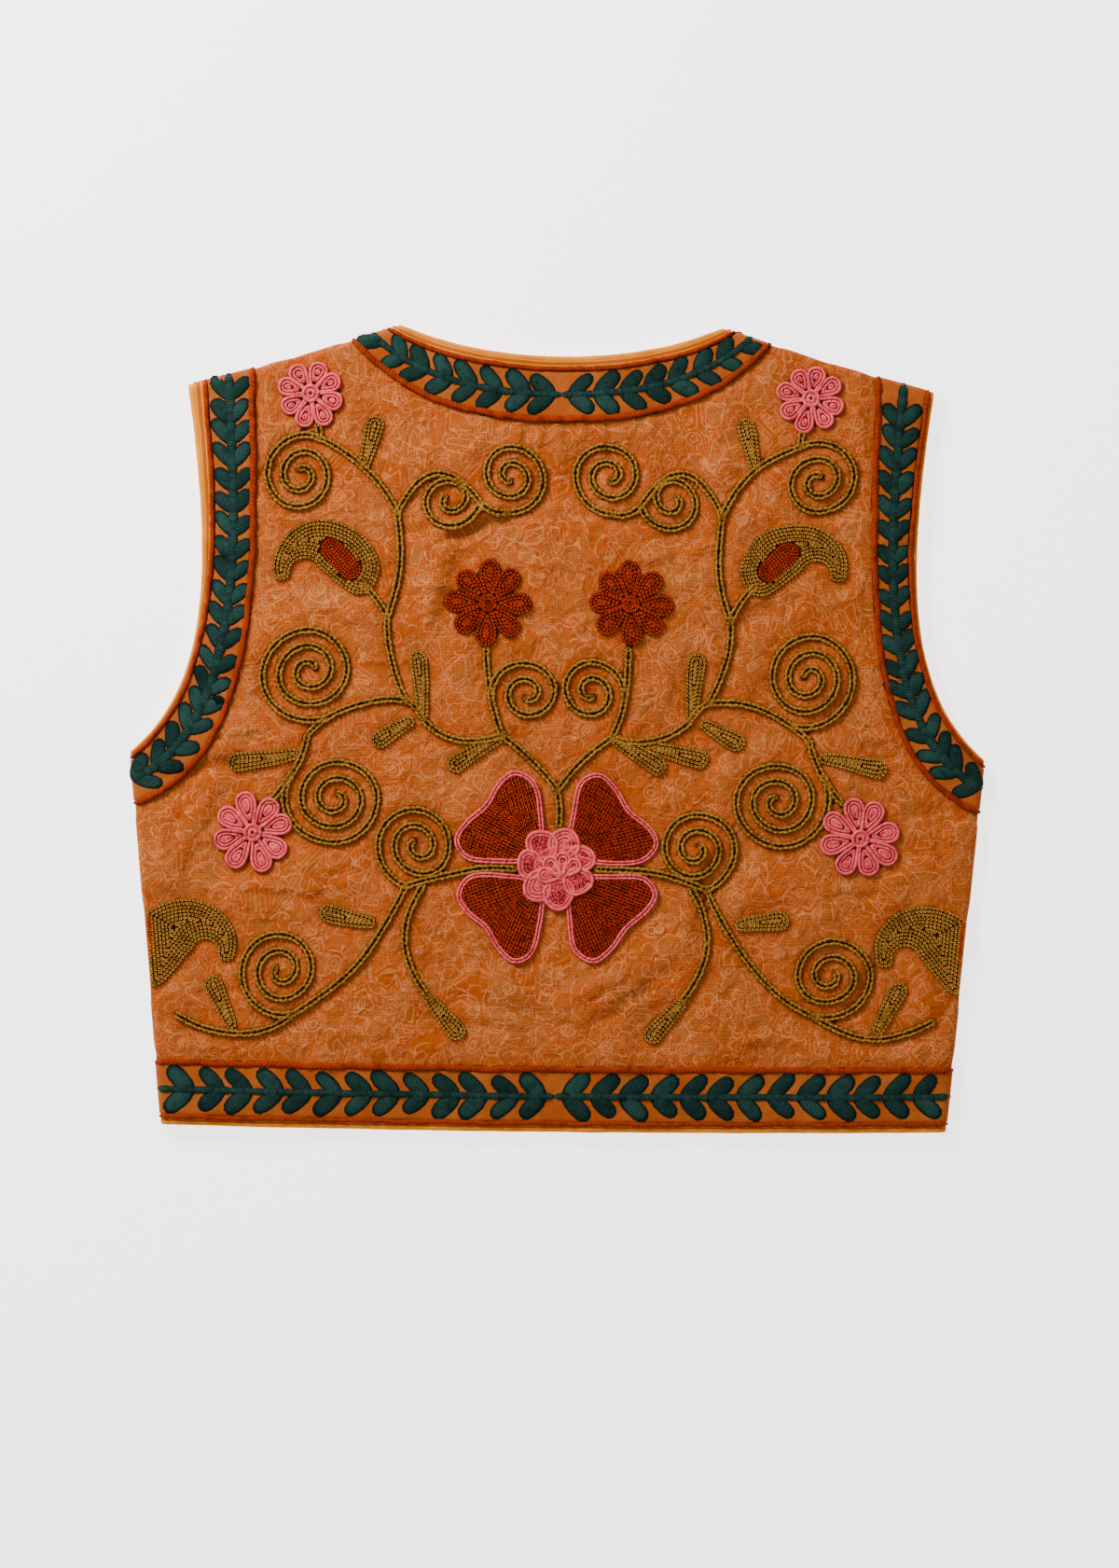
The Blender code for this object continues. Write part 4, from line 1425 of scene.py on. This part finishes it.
drawn_lines = reckon(doodle, "MAXIMUM", edge_line, loop_line)
drawn_lines = reckon(doodle, "MAXIMUM", drawn_lines, meander_line)
drawn_lines = reckon(doodle, "MAXIMUM", drawn_lines, hook_line)
drawn_lines = reckon(doodle, "MAXIMUM", drawn_lines, reckon(doodle, "MULTIPLY", ring_line, 0.9))
drawn_lines = reckon(doodle, "MAXIMUM", drawn_lines, reckon(doodle, "MULTIPLY", hatch_line, 0.7))
worn = reckon(doodle, "MULTIPLY_ADD", soft_step(doodle, breaks, 0.25, 0.7), 0.6, 0.4)
doodle.links.new(reckon(doodle, "MULTIPLY", drawn_lines, worn), doodle_out.inputs["Line"])
near_line = reckon(doodle, "MINIMUM", reckon(doodle, "MINIMUM", edge_distance, inner_loop), both_rings)
halo = reckon(doodle, "SUBTRACT", 1.0, soft_step(doodle, near_line, 0.4, 1.8))
doodle.links.new(halo, doodle_out.inputs["Halo"])
doodle.links.new(cell_kind.outputs[1], doodle_out.inputs["Cell"])
fleck = reckon(doodle, "MAXIMUM", reckon(doodle, "MULTIPLY", dots, 0.5), dash)
doodle.links.new(fleck, doodle_out.inputs["Fleck"])

crinkle, crinkle_in, crinkle_out = start_group(
    "Crinkle", [("Place", VECTOR, None)], [("Height", FLOAT)]
)
crinkle_a = add_node(
    crinkle, "ShaderNodeTexNoise",
    {"Vector": crinkle_in.outputs["Place"], "Scale": 0.06, "Detail": 2.0, "Distortion": 0.8},
).outputs[0]
crinkle_b = add_node(
    crinkle, "ShaderNodeTexNoise",
    {"Vector": crinkle_in.outputs["Place"], "Scale": 0.16, "Detail": 1.0, "Distortion": 1.0},
).outputs[0]
ridged = reckon(crinkle, "ABSOLUTE", reckon(crinkle, "SUBTRACT", crinkle_a, 0.5))
crinkle.links.new(
    reckon(
        crinkle, "ADD", reckon(crinkle, "MULTIPLY", ridged, -2.0),
        reckon(crinkle, "MULTIPLY", crinkle_b, 0.7),
    ),
    crinkle_out.inputs["Height"],
)


def print_cloth_material():
    material, tree, shader = start_material("Printed cotton", 0.9, 0.0, 0.12)
    place = millimetres(tree)
    drawing = place_group(tree, doodle, {"Place": place})
    threads = place_group(tree, weave, {"Place": place, "Pitch": 1.05})
    folds = place_group(tree, crinkle, {"Place": place})
    mottle = add_node(
        tree, "ShaderNodeTexNoise", {"Vector": place, "Scale": 0.045, "Detail": 4.0}
    ).outputs[0]
    # Weight of the painted shade on the cloth next to the stitching.
    near = add_node(tree, "ShaderNodeAttribute", attribute_name="painted_stitch_shade").outputs["Fac"]
    cell_tint = blend_colours(tree, drawing.outputs["Cell"], dye(154, 77, 16), dye(164, 92, 36))
    base = blend_colours(tree, soft_step(tree, mottle, 0.35, 0.68), cell_tint, dye(162, 72, 2))
    glow = reckon(tree, "MULTIPLY", drawing.outputs["Halo"], 0.55)
    base = blend_colours(tree, glow, base, dye(172, 64, 0))
    lines = reckon(tree, "MULTIPLY", drawing.outputs["Line"], 0.48)
    base = blend_colours(tree, lines, base, dye(222, 148, 90))
    flecks = reckon(tree, "MULTIPLY", drawing.outputs["Fleck"], 0.4)
    base = blend_colours(tree, flecks, base, dye(218, 146, 84))
    # Painted shade round the stitching: a darker orange near it and a dark band at its foot.
    base = blend_colours(tree, reckon(tree, "MULTIPLY", near, 0.6), base, dye(150, 58, 0))
    base = blend_colours(tree, soft_step(tree, near, 0.75, 1.0), base, dye(74, 28, 0))
    grain = reckon(tree, "MULTIPLY_ADD", threads.outputs["Shade"], 0.42, 0.76)
    tinted = add_node(tree, "ShaderNodeCombineColor", {0: grain, 1: grain, 2: grain}).outputs[0]
    base = blend_colours(tree, 1.0, base, tinted, "MULTIPLY")
    tree.links.new(base, shader.inputs["Base Color"])
    inputs = {"Height": folds.outputs["Height"], "Strength": 0.8, "Distance": 0.0015}
    broad = add_node(tree, "ShaderNodeBump", inputs)
    inputs = {
        "Height": threads.outputs["Height"], "Strength": 0.35, "Distance": 0.0003,
        "Normal": broad.outputs[0],
    }
    fine = add_node(tree, "ShaderNodeBump", inputs)
    tree.links.new(fine.outputs[0], shader.inputs["Normal"])
    return material


def satin_material(name, rolled):
    material, tree, shader = start_material(name, 0.7, 0.0, 0.12)
    place = millimetres(tree)
    threads = place_group(tree, weave, {"Place": place, "Pitch": 0.8})
    mottle = add_node(
        tree, "ShaderNodeTexNoise", {"Vector": place, "Scale": 0.08, "Detail": 3.0}
    ).outputs[0]
    base = blend_colours(tree, soft_step(tree, mottle, 0.3, 0.7), dye(222, 122, 0), dye(234, 144, 0))
    if rolled:
        ridge = add_node(tree, "ShaderNodeAttribute", attribute_name="ridge").outputs["Fac"]
        across = add_node(tree, "ShaderNodeUVMap", uv_map="Thread").outputs[0]
        across = add_node(tree, "ShaderNodeSeparateXYZ", {0: across}).outputs[0]
        tuck = reckon(tree, "SINE", reckon(tree, "MULTIPLY_ADD", across, 4.1, mottle))
        strip_colour = blend_colours(
            tree, soft_step(tree, tuck, 0.35, 0.9), dye(176, 78, 2), dye(224, 138, 8)
        )
        base = blend_colours(tree, soft_step(tree, ridge, 0.7, 0.95), strip_colour, base)
    tree.links.new(base, shader.inputs["Base Color"])
    inputs = {"Height": threads.outputs["Height"], "Strength": 0.3, "Distance": 0.0002}
    tree.links.new(add_node(tree, "ShaderNodeBump", inputs).outputs[0], shader.inputs["Normal"])
    return material


print_cloth = print_cloth_material()
satin = satin_material("Yellow satin", False)
rolled_satin = satin_material("Rolled yellow satin", True)


def line_at(line, key, axis):
    """The other coordinate of a line, where it passes each key along an axis."""
    order = np.argsort(line[:, axis])
    return np.interp(key, line[order, axis], line[order, 1 - axis])


def fill_patch(left, right, bottom, top):
    """Plan points in rows over a four-sided outline.

    left and right run from bottom to top, bottom and top from left to right.
    """
    width = top[-1, 0] - top[0, 0]
    u = ((top[:, 0] - top[0, 0]) / width)[None, :, None]
    low = (bottom[0, 1] + bottom[-1, 1]) / 2
    v = ((left[:, 1] + right[:, 1]) / 2 - low) / ((top[0, 1] + top[-1, 1]) / 2 - low)
    v = v[:, None, None]
    ruled = bottom[None] * (1 - v) + top[None] * v + left[:, None] * (1 - u) + right[:, None] * u
    foot = bottom[0] * (1 - u) + bottom[-1] * u
    head = top[0] * (1 - u) + top[-1] * u
    return ruled - foot * (1 - v) - head * v


def marks_between(start, end, pitch, near_start, near_end):
    """Even steps from start to end, closer where the cloth rolls over."""
    span = abs(end - start)
    marks = np.linspace(0.0, span, int(span / pitch) + 1)
    extra = []
    if near_start:
        extra += list(SEAM_STATIONS)
    if near_end:
        extra += [span - mark for mark in SEAM_STATIONS]
    marks = np.unique(np.concatenate((marks, extra)))
    keep = np.concatenate(((True,), np.diff(marks) > 0.2))
    keep[-1] = True
    return start + (end - start) / span * marks[keep]


def sew_panel(name, plan, points, near, flip):
    """A panel of cloth from its rows of points, with a thin wall and closed edges."""
    rows, columns = plan.shape[:2]
    corner = (np.arange(rows - 1)[:, None] * columns + np.arange(columns - 1)[None]).ravel()
    quads = np.stack((corner, corner + 1, corner + columns + 1, corner + columns), axis=1)
    if flip:
        quads = quads[:, ::-1]
    mesh = bpy.data.meshes.new(name)
    mesh.from_pydata(points * 0.001, [], quads.tolist())
    note_points(mesh, "painted_stitch_shade", near)
    note_points(mesh, "ridge", np.ones(len(points)))
    mesh.shade_smooth()
    panel = bpy.data.objects.new(name, mesh)
    bpy.context.scene.collection.objects.link(panel)
    mesh.materials.append(print_cloth)
    mesh.materials.append(satin)
    wall = panel.modifiers.new("Cloth wall", "SOLIDIFY")
    wall.thickness = CLOTH_WALL * 0.001
    wall.offset = -1.0
    wall.material_offset = 1
    bpy.ops.object.select_all(action="DESELECT")
    panel.select_set(True)
    bpy.context.view_layer.objects.active = panel
    bpy.ops.object.modifier_apply(modifier=wall.name)
    return panel


fine = np.linspace(0.0, 1.0, 500)
neck = borders["back_neck"]
neck_fine = np.linspace(-1.0, 1.0, 900)
neck_edge = neck.plan(neck_fine, NECK_LINING + GAP)
hole_edges = {}
for side, label in ((-1, "back_left_armhole"), (1, "back_right_armhole")):
    border = borders[label]
    hole_edges[side] = border.plan(fine, border.lining(fine) + GAP)
hem_edge = borders["back_hem"].plan(fine, HEM_LINING + GAP)


def side_line(hole_edge, foot):
    """Up a side seam and on round the armhole to the shoulder."""
    return np.concatenate((foot[None], hole_edge[::-1]))


left_side = side_line(hole_edges[-1], hem_edge[0])
right_side = side_line(hole_edges[1], hem_edge[-1])
top_left, top_right = left_side[-1], right_side[-1]
top_x = marks_between(top_left[0], top_right[0], GRID_PITCH, True, True)
top_y = np.where(
    np.abs(top_x) > abs(neck_edge[-1, 0]),
    shoulder_height(np.abs(top_x)),
    line_at(neck_edge, top_x, 0),
)
top_y[0], top_y[-1] = top_left[1], top_right[1]
shares = (top_x - top_x[0]) / (top_x[-1] - top_x[0])
bottom_x = hem_edge[0, 0] + (hem_edge[-1, 0] - hem_edge[0, 0]) * shares
side_y = marks_between(hem_edge[0, 1], top_left[1], GRID_PITCH, False, True)
right_y = hem_edge[-1, 1] + (top_right[1] - hem_edge[-1, 1]) * (side_y - side_y[0]) / np.ptp(side_y)
back_plan = fill_patch(
    np.stack((line_at(left_side, side_y, 1), side_y), axis=1),
    np.stack((line_at(right_side, right_y, 1), right_y), axis=1),
    np.stack((bottom_x, line_at(hem_edge, bottom_x, 0)), axis=1),
    np.stack((top_x, top_y), axis=1),
)

for border in [borders[name] for name in borders if name.startswith("back")]:
    spots = np.linspace(border.first, 1.0, 300)
    start = border.lane("outer_cord", spots)[0]
    far = border.width(spots)
    for inset_share, half_width in ((0.0, 4.0), (0.3, 4.0), (0.6, 4.0), (0.97, 0.8)):
        mark_stitched(border.plan(spots, start + (far - start) * inset_share), half_width)

stitch_tree = tree_of(stitched_places)
flat_plan = back_plan.reshape(-1, 2)
stitch_gap = np.empty(len(flat_plan))
stitch_run = np.empty(len(flat_plan))
for index, (x, y) in enumerate(flat_plan):
    found = stitch_tree.find((x, y, 0.0))
    place_row = stitched_places[found[1]]
    stitch_gap[index] = max(found[2] - place_row[2], 0.0)
    stitch_run[index] = place_row[3]
puff = PUFF * smooth(1.0, 10.0, stitch_gap) - 0.12
pucker = 0.22 * np.sin(stitch_run * 0.9 + 1.3 * np.sin(stitch_run * 0.21))
puff += pucker * np.exp(-((stitch_gap - 2.5) / 2.6) ** 2)
# Weight for painted shade on the cloth next to the stitching.
painted_stitch_shade = np.exp(-stitch_gap / 2.6)
back_points = lie(flat_plan, "back", puff)
back_panel = sew_panel("printed_back", back_plan, back_points, painted_stitch_shade, False)

front_panels = {}
for side, word in ((-1, "left"), (1, "right")):
    hole = borders[f"front_{word}_armhole"]
    hole_edge = hole.plan(fine, hole.lining(fine) + GAP)
    edge = borders[f"front_{word}_edge"]
    front_edge = edge.plan(fine, FRONT_LINING + GAP)
    whole = whole_front_hems[f"front_{word}_hem"]
    hem_line = whole.plan(fine, HEM_LINING + GAP)
    outer_side = side_line(hole_edge, hem_line[0])
    head_x = marks_between(outer_side[-1, 0], front_edge[0, 0], 3.4, True, False)
    head = np.stack((head_x, shoulder_height(np.abs(head_x))), axis=1)
    shares = (head_x - head_x[0]) / (head_x[-1] - head_x[0])
    foot_x = hem_line[0, 0] + (front_edge[-1, 0] - hem_line[0, 0]) * shares
    foot = np.stack((foot_x, line_at(hem_line, foot_x, 0)), axis=1)
    outer_y = marks_between(foot[0, 1], head[0, 1], 3.4, False, True)
    inner_y = foot[-1, 1] + (head[-1, 1] - foot[-1, 1]) * (outer_y - outer_y[0]) / np.ptp(outer_y)
    front_plan = fill_patch(
        np.stack((line_at(outer_side, outer_y, 1), outer_y), axis=1),
        np.stack((line_at(front_edge, inner_y, 1), inner_y), axis=1),
        foot,
        head,
    )
    flat_front = front_plan.reshape(-1, 2)
    points = lie(flat_front, "front", 0.0)
    front_panels[side] = sew_panel(
        f"printed_front_{word}", front_plan, points, np.zeros(len(flat_front)), side < 0
    )

for piece, node in (
    (back_panel, "back_panel"),
    (front_panels[-1], "front_left_panel"),
    (front_panels[1], "front_right_panel"),
):
    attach(piece, "root")
    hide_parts(node)


# ---------------------------------------------------------------------------------------------
# The borders: a band of plain cotton on the bias, a rust cord couched along each side of it,
# and the yellow lining rolled over the open edge.
def band_cloth_material():
    material, tree, shader = start_material("Band cotton", 0.9, 0.0, 0.12)
    place = millimetres(tree)
    threads = place_group(tree, weave, {"Place": place, "Pitch": 0.95})
    folds = place_group(tree, crinkle, {"Place": place})
    mottle = add_node(
        tree, "ShaderNodeTexNoise", {"Vector": place, "Scale": 0.07, "Detail": 3.0}
    ).outputs[0]
    base = blend_colours(
        tree, soft_step(tree, mottle, 0.32, 0.68), dye(164, 82, 26), dye(158, 70, 12)
    )
    grain = reckon(tree, "MULTIPLY_ADD", threads.outputs["Shade"], 0.35, 0.8)
    tinted = add_node(tree, "ShaderNodeCombineColor", {0: grain, 1: grain, 2: grain}).outputs[0]
    base = blend_colours(tree, 1.0, base, tinted, "MULTIPLY")
    tree.links.new(base, shader.inputs["Base Color"])
    inputs = {"Height": folds.outputs["Height"], "Strength": 0.35, "Distance": 0.001}
    broad = add_node(tree, "ShaderNodeBump", inputs)
    inputs = {
        "Height": threads.outputs["Height"], "Strength": 0.4, "Distance": 0.0003,
        "Normal": broad.outputs[0],
    }
    tree.links.new(add_node(tree, "ShaderNodeBump", inputs).outputs[0], shader.inputs["Normal"])
    return material


def loft(name, rings, ridge, material, sharp=50.0):
    """A closed strip through rings of points, capped at both ends."""
    stations, sides = rings.shape[:2]
    faces = [tuple(range(sides)), tuple((stations - 1) * sides + k for k in reversed(range(sides)))]
    for station in range(stations - 1):
        for k in range(sides):
            a, b = station * sides + k, station * sides + (k + 1) % sides
            faces.append((a, b, b + sides, a + sides))
    mesh = bpy.data.meshes.new(name)
    mesh.from_pydata(rings.reshape(-1, 3) * 0.001, [], faces)
    shape = bmesh.new()
    shape.from_mesh(mesh)
    bmesh.ops.recalc_face_normals(shape, faces=shape.faces)
    shape.to_mesh(mesh)
    shape.free()
    run = run_length(rings.mean(axis=1))
    map_points(mesh, np.tile(np.arange(sides), stations), np.repeat(run, sides))
    note_points(mesh, "ridge", np.tile(ridge, stations))
    note_points(mesh, "tone", np.full(stations * sides, 0.5))
    piece = bpy.data.objects.new(name, mesh)
    bpy.context.scene.collection.objects.link(piece)
    return finish_mesh(piece, material, sharp)


def strip(border, lane, section, pitch, wander=0.0, lump=0.0):
    """Rings of points along one lane of a border, from its cross-section."""
    share = border.stations(pitch)
    start, end = border.lane(lane, share)
    if lane == "lining_edge":
        end = end + 1.3
    run = run_length(border.middle(share))
    seed = float(abs(border.outer(share[:1])[0, 0]))
    shift = wander * (np.sin(run * 0.13 + seed) + 0.6 * np.sin(run * 0.37 + 2 * seed))
    swell = np.ones(len(run))
    if lump > 0.05:
        swell = 0.6 + 0.4 * smooth(0.0, 3.5, run) * smooth(0.0, 3.5, run[-1] - run)
    swell = swell + lump * (np.sin(run * 0.9 + seed) * np.sin(run * 0.17) + 0.4 * np.sin(run * 2.3))
    rings = []
    for across, height in section:
        inset = start + (0.5 + (across - 0.5) * swell) * (end - start) + shift
        level = height * swell if height > 0.4 else np.full(len(share), height)
        if border.layer == "front":
            level = np.minimum(level, 2.02)
        rings.append(lie(border.plan(share, inset), border.layer, level))
    return np.stack(rings, axis=1)


BAND_SECTION = (
    [(-0.07, 0.05), (-0.07, 0.5), (-0.05, 0.75)]
    + [(share, 0.82) for share in np.linspace(0.02, 0.98, 9)]
    + [(1.05, 0.75), (1.07, 0.5), (1.07, 0.05)]
)
round_turn = np.linspace(0.0, 2 * math.pi, 10, endpoint=False)


def cord_section(width, at):
    """Cross-section of a cord of that width, about a place across its lane."""
    return [
        (at + width / CORD / 2 * math.cos(turn), 1.0 + 0.95 * math.sin(turn)) for turn in round_turn
    ]


CORD_SECTIONS = {"outer_cord": cord_section(2.7, 0.36), "inner_cord": cord_section(3.5, 0.55)}
LINING_SECTION = (
    (0.0, -0.55), (0.02, -0.15), (0.12, 0.25), (0.35, 0.4), (0.6, 0.42), (0.85, 0.35), (1.0, 0.1),
    (1.0, -0.9), (0.5, -1.3), (0.12, -1.1),
)
band_cloth = band_cloth_material()
# The cord's body dye, its painted shade colour and its painted highlight colour.
cord_wool = thread_material(
    "Rust cord", (124, 32, 0), (60, 9, 0), (150, 48, 2), 2.4, 0.6, 0.8
)
border_pieces = {}
for name, border in borders.items():
    lanes = {}
    rings = strip(border, "band", BAND_SECTION, 2.4)
    lanes["band"] = loft(f"{name}_bias_band", rings, np.ones(len(BAND_SECTION)), band_cloth)
    for lane, wander in (("outer_cord", 0.22), ("inner_cord", 0.3)):
        rings = strip(border, lane, CORD_SECTIONS[lane], 1.6, wander, 0.12)
        # Ridge for painted shade under the cord and the painted highlight on its top.
        ridge = np.clip(0.75 + 0.6 * np.sin(round_turn), 0.3, 1.0)
        lanes[lane] = loft(f"{name}_{lane}_wool", rings, ridge, cord_wool)
    whole = whole_front_hems.get(name, border)
    rings = strip(whole, "lining_edge", LINING_SECTION, 2.4, 0.0, 0.02)
    rim = np.array([1.0, 1.0, 1.0, 0.8, 0.55, 0.35, 0.2, 0.5, 1.0, 1.0])
    lanes["lining_edge"] = loft(f"{name}_rolled_edge", rings, rim, rolled_satin)
    for lane, piece in lanes.items():
        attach(piece, "root")
        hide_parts(f"{name}_{lane}")
    border_pieces[name] = lanes


# ---------------------------------------------------------------------------------------------
# The sprigs: a teal stem along the middle of each band, with a pair of padded leaves every
# 12 to 17 mm, worked in satin stitch that stands about 1.4 mm above the band.
LEAF_LENGTH = 18.8
LEAF_WIDTH = 9.4
PEEK = 1.0
BAND_TOP = 0.75
TIP_ON_CORD = {"back": 2.7, "front": 1.0}  # how far a tip may lie past the band's edge
TIP_AHEAD = 8.0  # how much further on a leaf's tip meets the cord than its base leaves the stem
BASE_TUCK = 2.0  # how far the base is tucked under the stem
TIP_ROUND = 0.45  # share of a leaf's width that its round tip takes of its length
PLUMPEST = 0.54  # the most that a leaf's width may be of its length


def model_leaf():
    """A fat leaf with a round tip at +X, one unit long, wide and high, flat underneath."""
    bpy.ops.object.select_all(action="DESELECT")
    bpy.ops.mesh.primitive_uv_sphere_add(segments=14, ring_count=8, radius=0.5)
    leaf = bpy.context.active_object
    bpy.ops.object.mode_set(mode="EDIT")
    bpy.ops.mesh.select_all(action="SELECT")
    bpy.ops.mesh.bisect(
        plane_co=(0.0, 0.0, 0.0), plane_no=(0.0, 0.0, 1.0), clear_inner=True, use_fill=True
    )
    bpy.ops.mesh.select_all(action="SELECT")
    bpy.ops.transform.resize(value=(1.0, 1.0, 2.0))
    bpy.ops.object.mode_set(mode="OBJECT")
    for vertex in leaf.data.vertices:
        vertex.co.y *= 1.0 + (1.4 if vertex.co.x > 0.0 else 0.7) * vertex.co.x**2
        vertex.co.z = vertex.co.z**0.8 if vertex.co.z > 0.0 else 0.0
    # Ridge for painted shade round the leaf's foot, rising to the painted highlight on its top.
    return take_shape(leaf, lambda x, y, z: min(1.0, 0.35 + z))


LEAF = model_leaf()
sprig_chance = np.random.default_rng(5)


def sprig(work, way, room, pitch, start, height, stem_width=3.8, size=1.06):
    """A stem along a line, with pairs of leaves that lean towards its far end. room is half the
    width of the band at each point of the line; a leaf's tip is tucked under the cord there."""
    run = run_length(way)
    total = run[-1]
    work.cord(way, stem_width, height * 0.8, base=BAND_TOP, step=2.0)
    marks = np.arange(start, total - 1.0, pitch)
    marks = marks + sprig_chance.uniform(-0.9, 0.9, len(marks))
    places, headings = walk(way, marks)
    half_band = np.interp(marks + TIP_AHEAD, run, room)
    for side in (-1.0, 1.0):
        lean = np.radians(sprig_chance.uniform(38.0, 48.0, len(marks))) * side
        turned = np.stack(
            (
                headings[:, 0] * np.cos(lean) - headings[:, 1] * np.sin(lean),
                headings[:, 0] * np.sin(lean) + headings[:, 1] * np.cos(lean),
            ),
            axis=1,
        )
        length = size * LEAF_LENGTH * sprig_chance.uniform(0.92, 1.06, len(marks))
        width = size * LEAF_WIDTH * sprig_chance.uniform(0.9, 1.08, len(marks))
        tip = width * TIP_ROUND
        reach = half_band + TIP_ON_CORD[work.layer] - tip
        length = np.minimum(length, reach / np.abs(np.sin(lean)) + BASE_TUCK + tip)
        width = np.minimum(width, length * PLUMPEST)
        middles = places + turned * (length * 0.5 - BASE_TUCK)[:, None]
        form, faces, ridge = LEAF
        raised = form.copy()
        raised[:, 2] = raised[:, 2] + BAND_TOP / height
        inside = beyond_seam(middles + turned * (length * 0.5)[:, None]) < PEEK
        work.stamp(
            (raised, faces, ridge), middles[inside], turned[inside], length[inside], width[inside],
            height,
        )


for name, border in borders.items():
    work = Needlework(border.layer)
    height = 1.35 if border.layer == "back" else 1.2
    share = np.linspace(border.first, 1.0, 900)
    middle = border.middle(share)
    start, end = border.lane("band", share)
    room = (end - start) / 2
    half = len(middle) // 2
    if name == "back_hem":
        sprig(work, middle[half:], room[half:], 16.4, 6.0, height)
        sprig(work, middle[: half + 1][::-1], room[: half + 1][::-1], 16.4, 6.0, height)
    elif name == "back_neck":
        sprig(work, middle[half:], room[half:], 14.6, 5.0, height, size=1.0)
        sprig(work, middle[: half + 1][::-1], room[: half + 1][::-1], 14.6, 5.0, height, size=1.0)
    elif "armhole" in name:
        sprig(work, middle[::-1], room[::-1], 12.8, 3.0, height, 5.2, 0.95)
    elif "edge" in name:
        sprig(work, middle[::-1], room[::-1], 13.4, 4.0, height, 4.4, 0.92)
    else:
        sprig(work, middle[::-1], room[::-1], 16.0, 6.0, height)
    piece = work.finish(f"{name}_sprig", teal_thread)
    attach(piece, "root")

for name, border in borders.items():
    lanes = border_pieces[name]
    share = np.linspace(border.first, 1.0, 400)
    start, end = border.lane("band", share)
    width = float(np.mean(end - start)) * 0.001
    length = float(run_length(border.middle(share))[-1]) * 0.001


# ---------------------------------------------------------------------------------------------
# The studio: a plain pale floor, a large soft lamp from the neck side and a soft fill, with
# the camera straight above. The garment lies a little turned to the frame, so the camera is.
FLOOR_SIZE = 40.0
CAMERA_HEIGHT = 2.078
CAMERA_TURN = 0.0105
CAMERA_AT = (0.0014, -0.0311)

bpy.ops.object.select_all(action="DESELECT")
bpy.ops.mesh.primitive_plane_add(size=FLOOR_SIZE)
floor = bpy.context.active_object
floor.name = floor.data.name = "studio_floor"
floor_paint, floor_tree, floor_shader = start_material("Pale floor", 0.9)
floor_noise = add_node(
    floor_tree, "ShaderNodeTexNoise", {"Vector": millimetres(floor_tree), "Scale": 0.02}
).outputs[0]
floor_colour = blend_colours(floor_tree, floor_noise, dye(250, 250, 250), dye(253, 253, 253))
floor_tree.links.new(floor_colour, floor_shader.inputs["Base Color"])
floor_shader.inputs["Emission Color"].default_value = (1.0, 1.0, 1.0, 1.0)
floor_shader.inputs["Emission Strength"].default_value = 2.4
floor.data.materials.append(floor_paint)


def soft_lamp(name, size, power, place, target=(0.0, 0.0, 0.0)):
    lamp = bpy.data.lights.new(name, "AREA")
    lamp.shape = "SQUARE"
    lamp.size = size
    lamp.energy = power
    stand = bpy.data.objects.new(name, lamp)
    stand.location = place
    stand.rotation_euler = (Vector(target) - Vector(place)).to_track_quat("-Z", "Y").to_euler()
    bpy.context.scene.collection.objects.link(stand)


soft_lamp("Neck side lamp", 0.46, 44.0, (-0.9, 1.02, 0.76))
soft_lamp("Fill lamp", 2.6, 16.0, (0.3, -0.1, 2.7))
world = bpy.data.worlds.new("Studio")
world.use_nodes = True
world.node_tree.nodes["Background"].inputs["Color"].default_value = (1.0, 1.0, 1.0, 1.0)
world.node_tree.nodes["Background"].inputs["Strength"].default_value = 0.4
bpy.context.scene.world = world

lens = bpy.data.cameras.new("Camera")
lens.lens = 85.0
lens.sensor_width = 36.0
camera = bpy.data.objects.new("Camera", lens)
camera.location = (*CAMERA_AT, CAMERA_HEIGHT)
camera.rotation_euler = (0.0, 0.0, CAMERA_TURN)
bpy.context.scene.collection.objects.link(camera)
bpy.context.scene.camera = camera
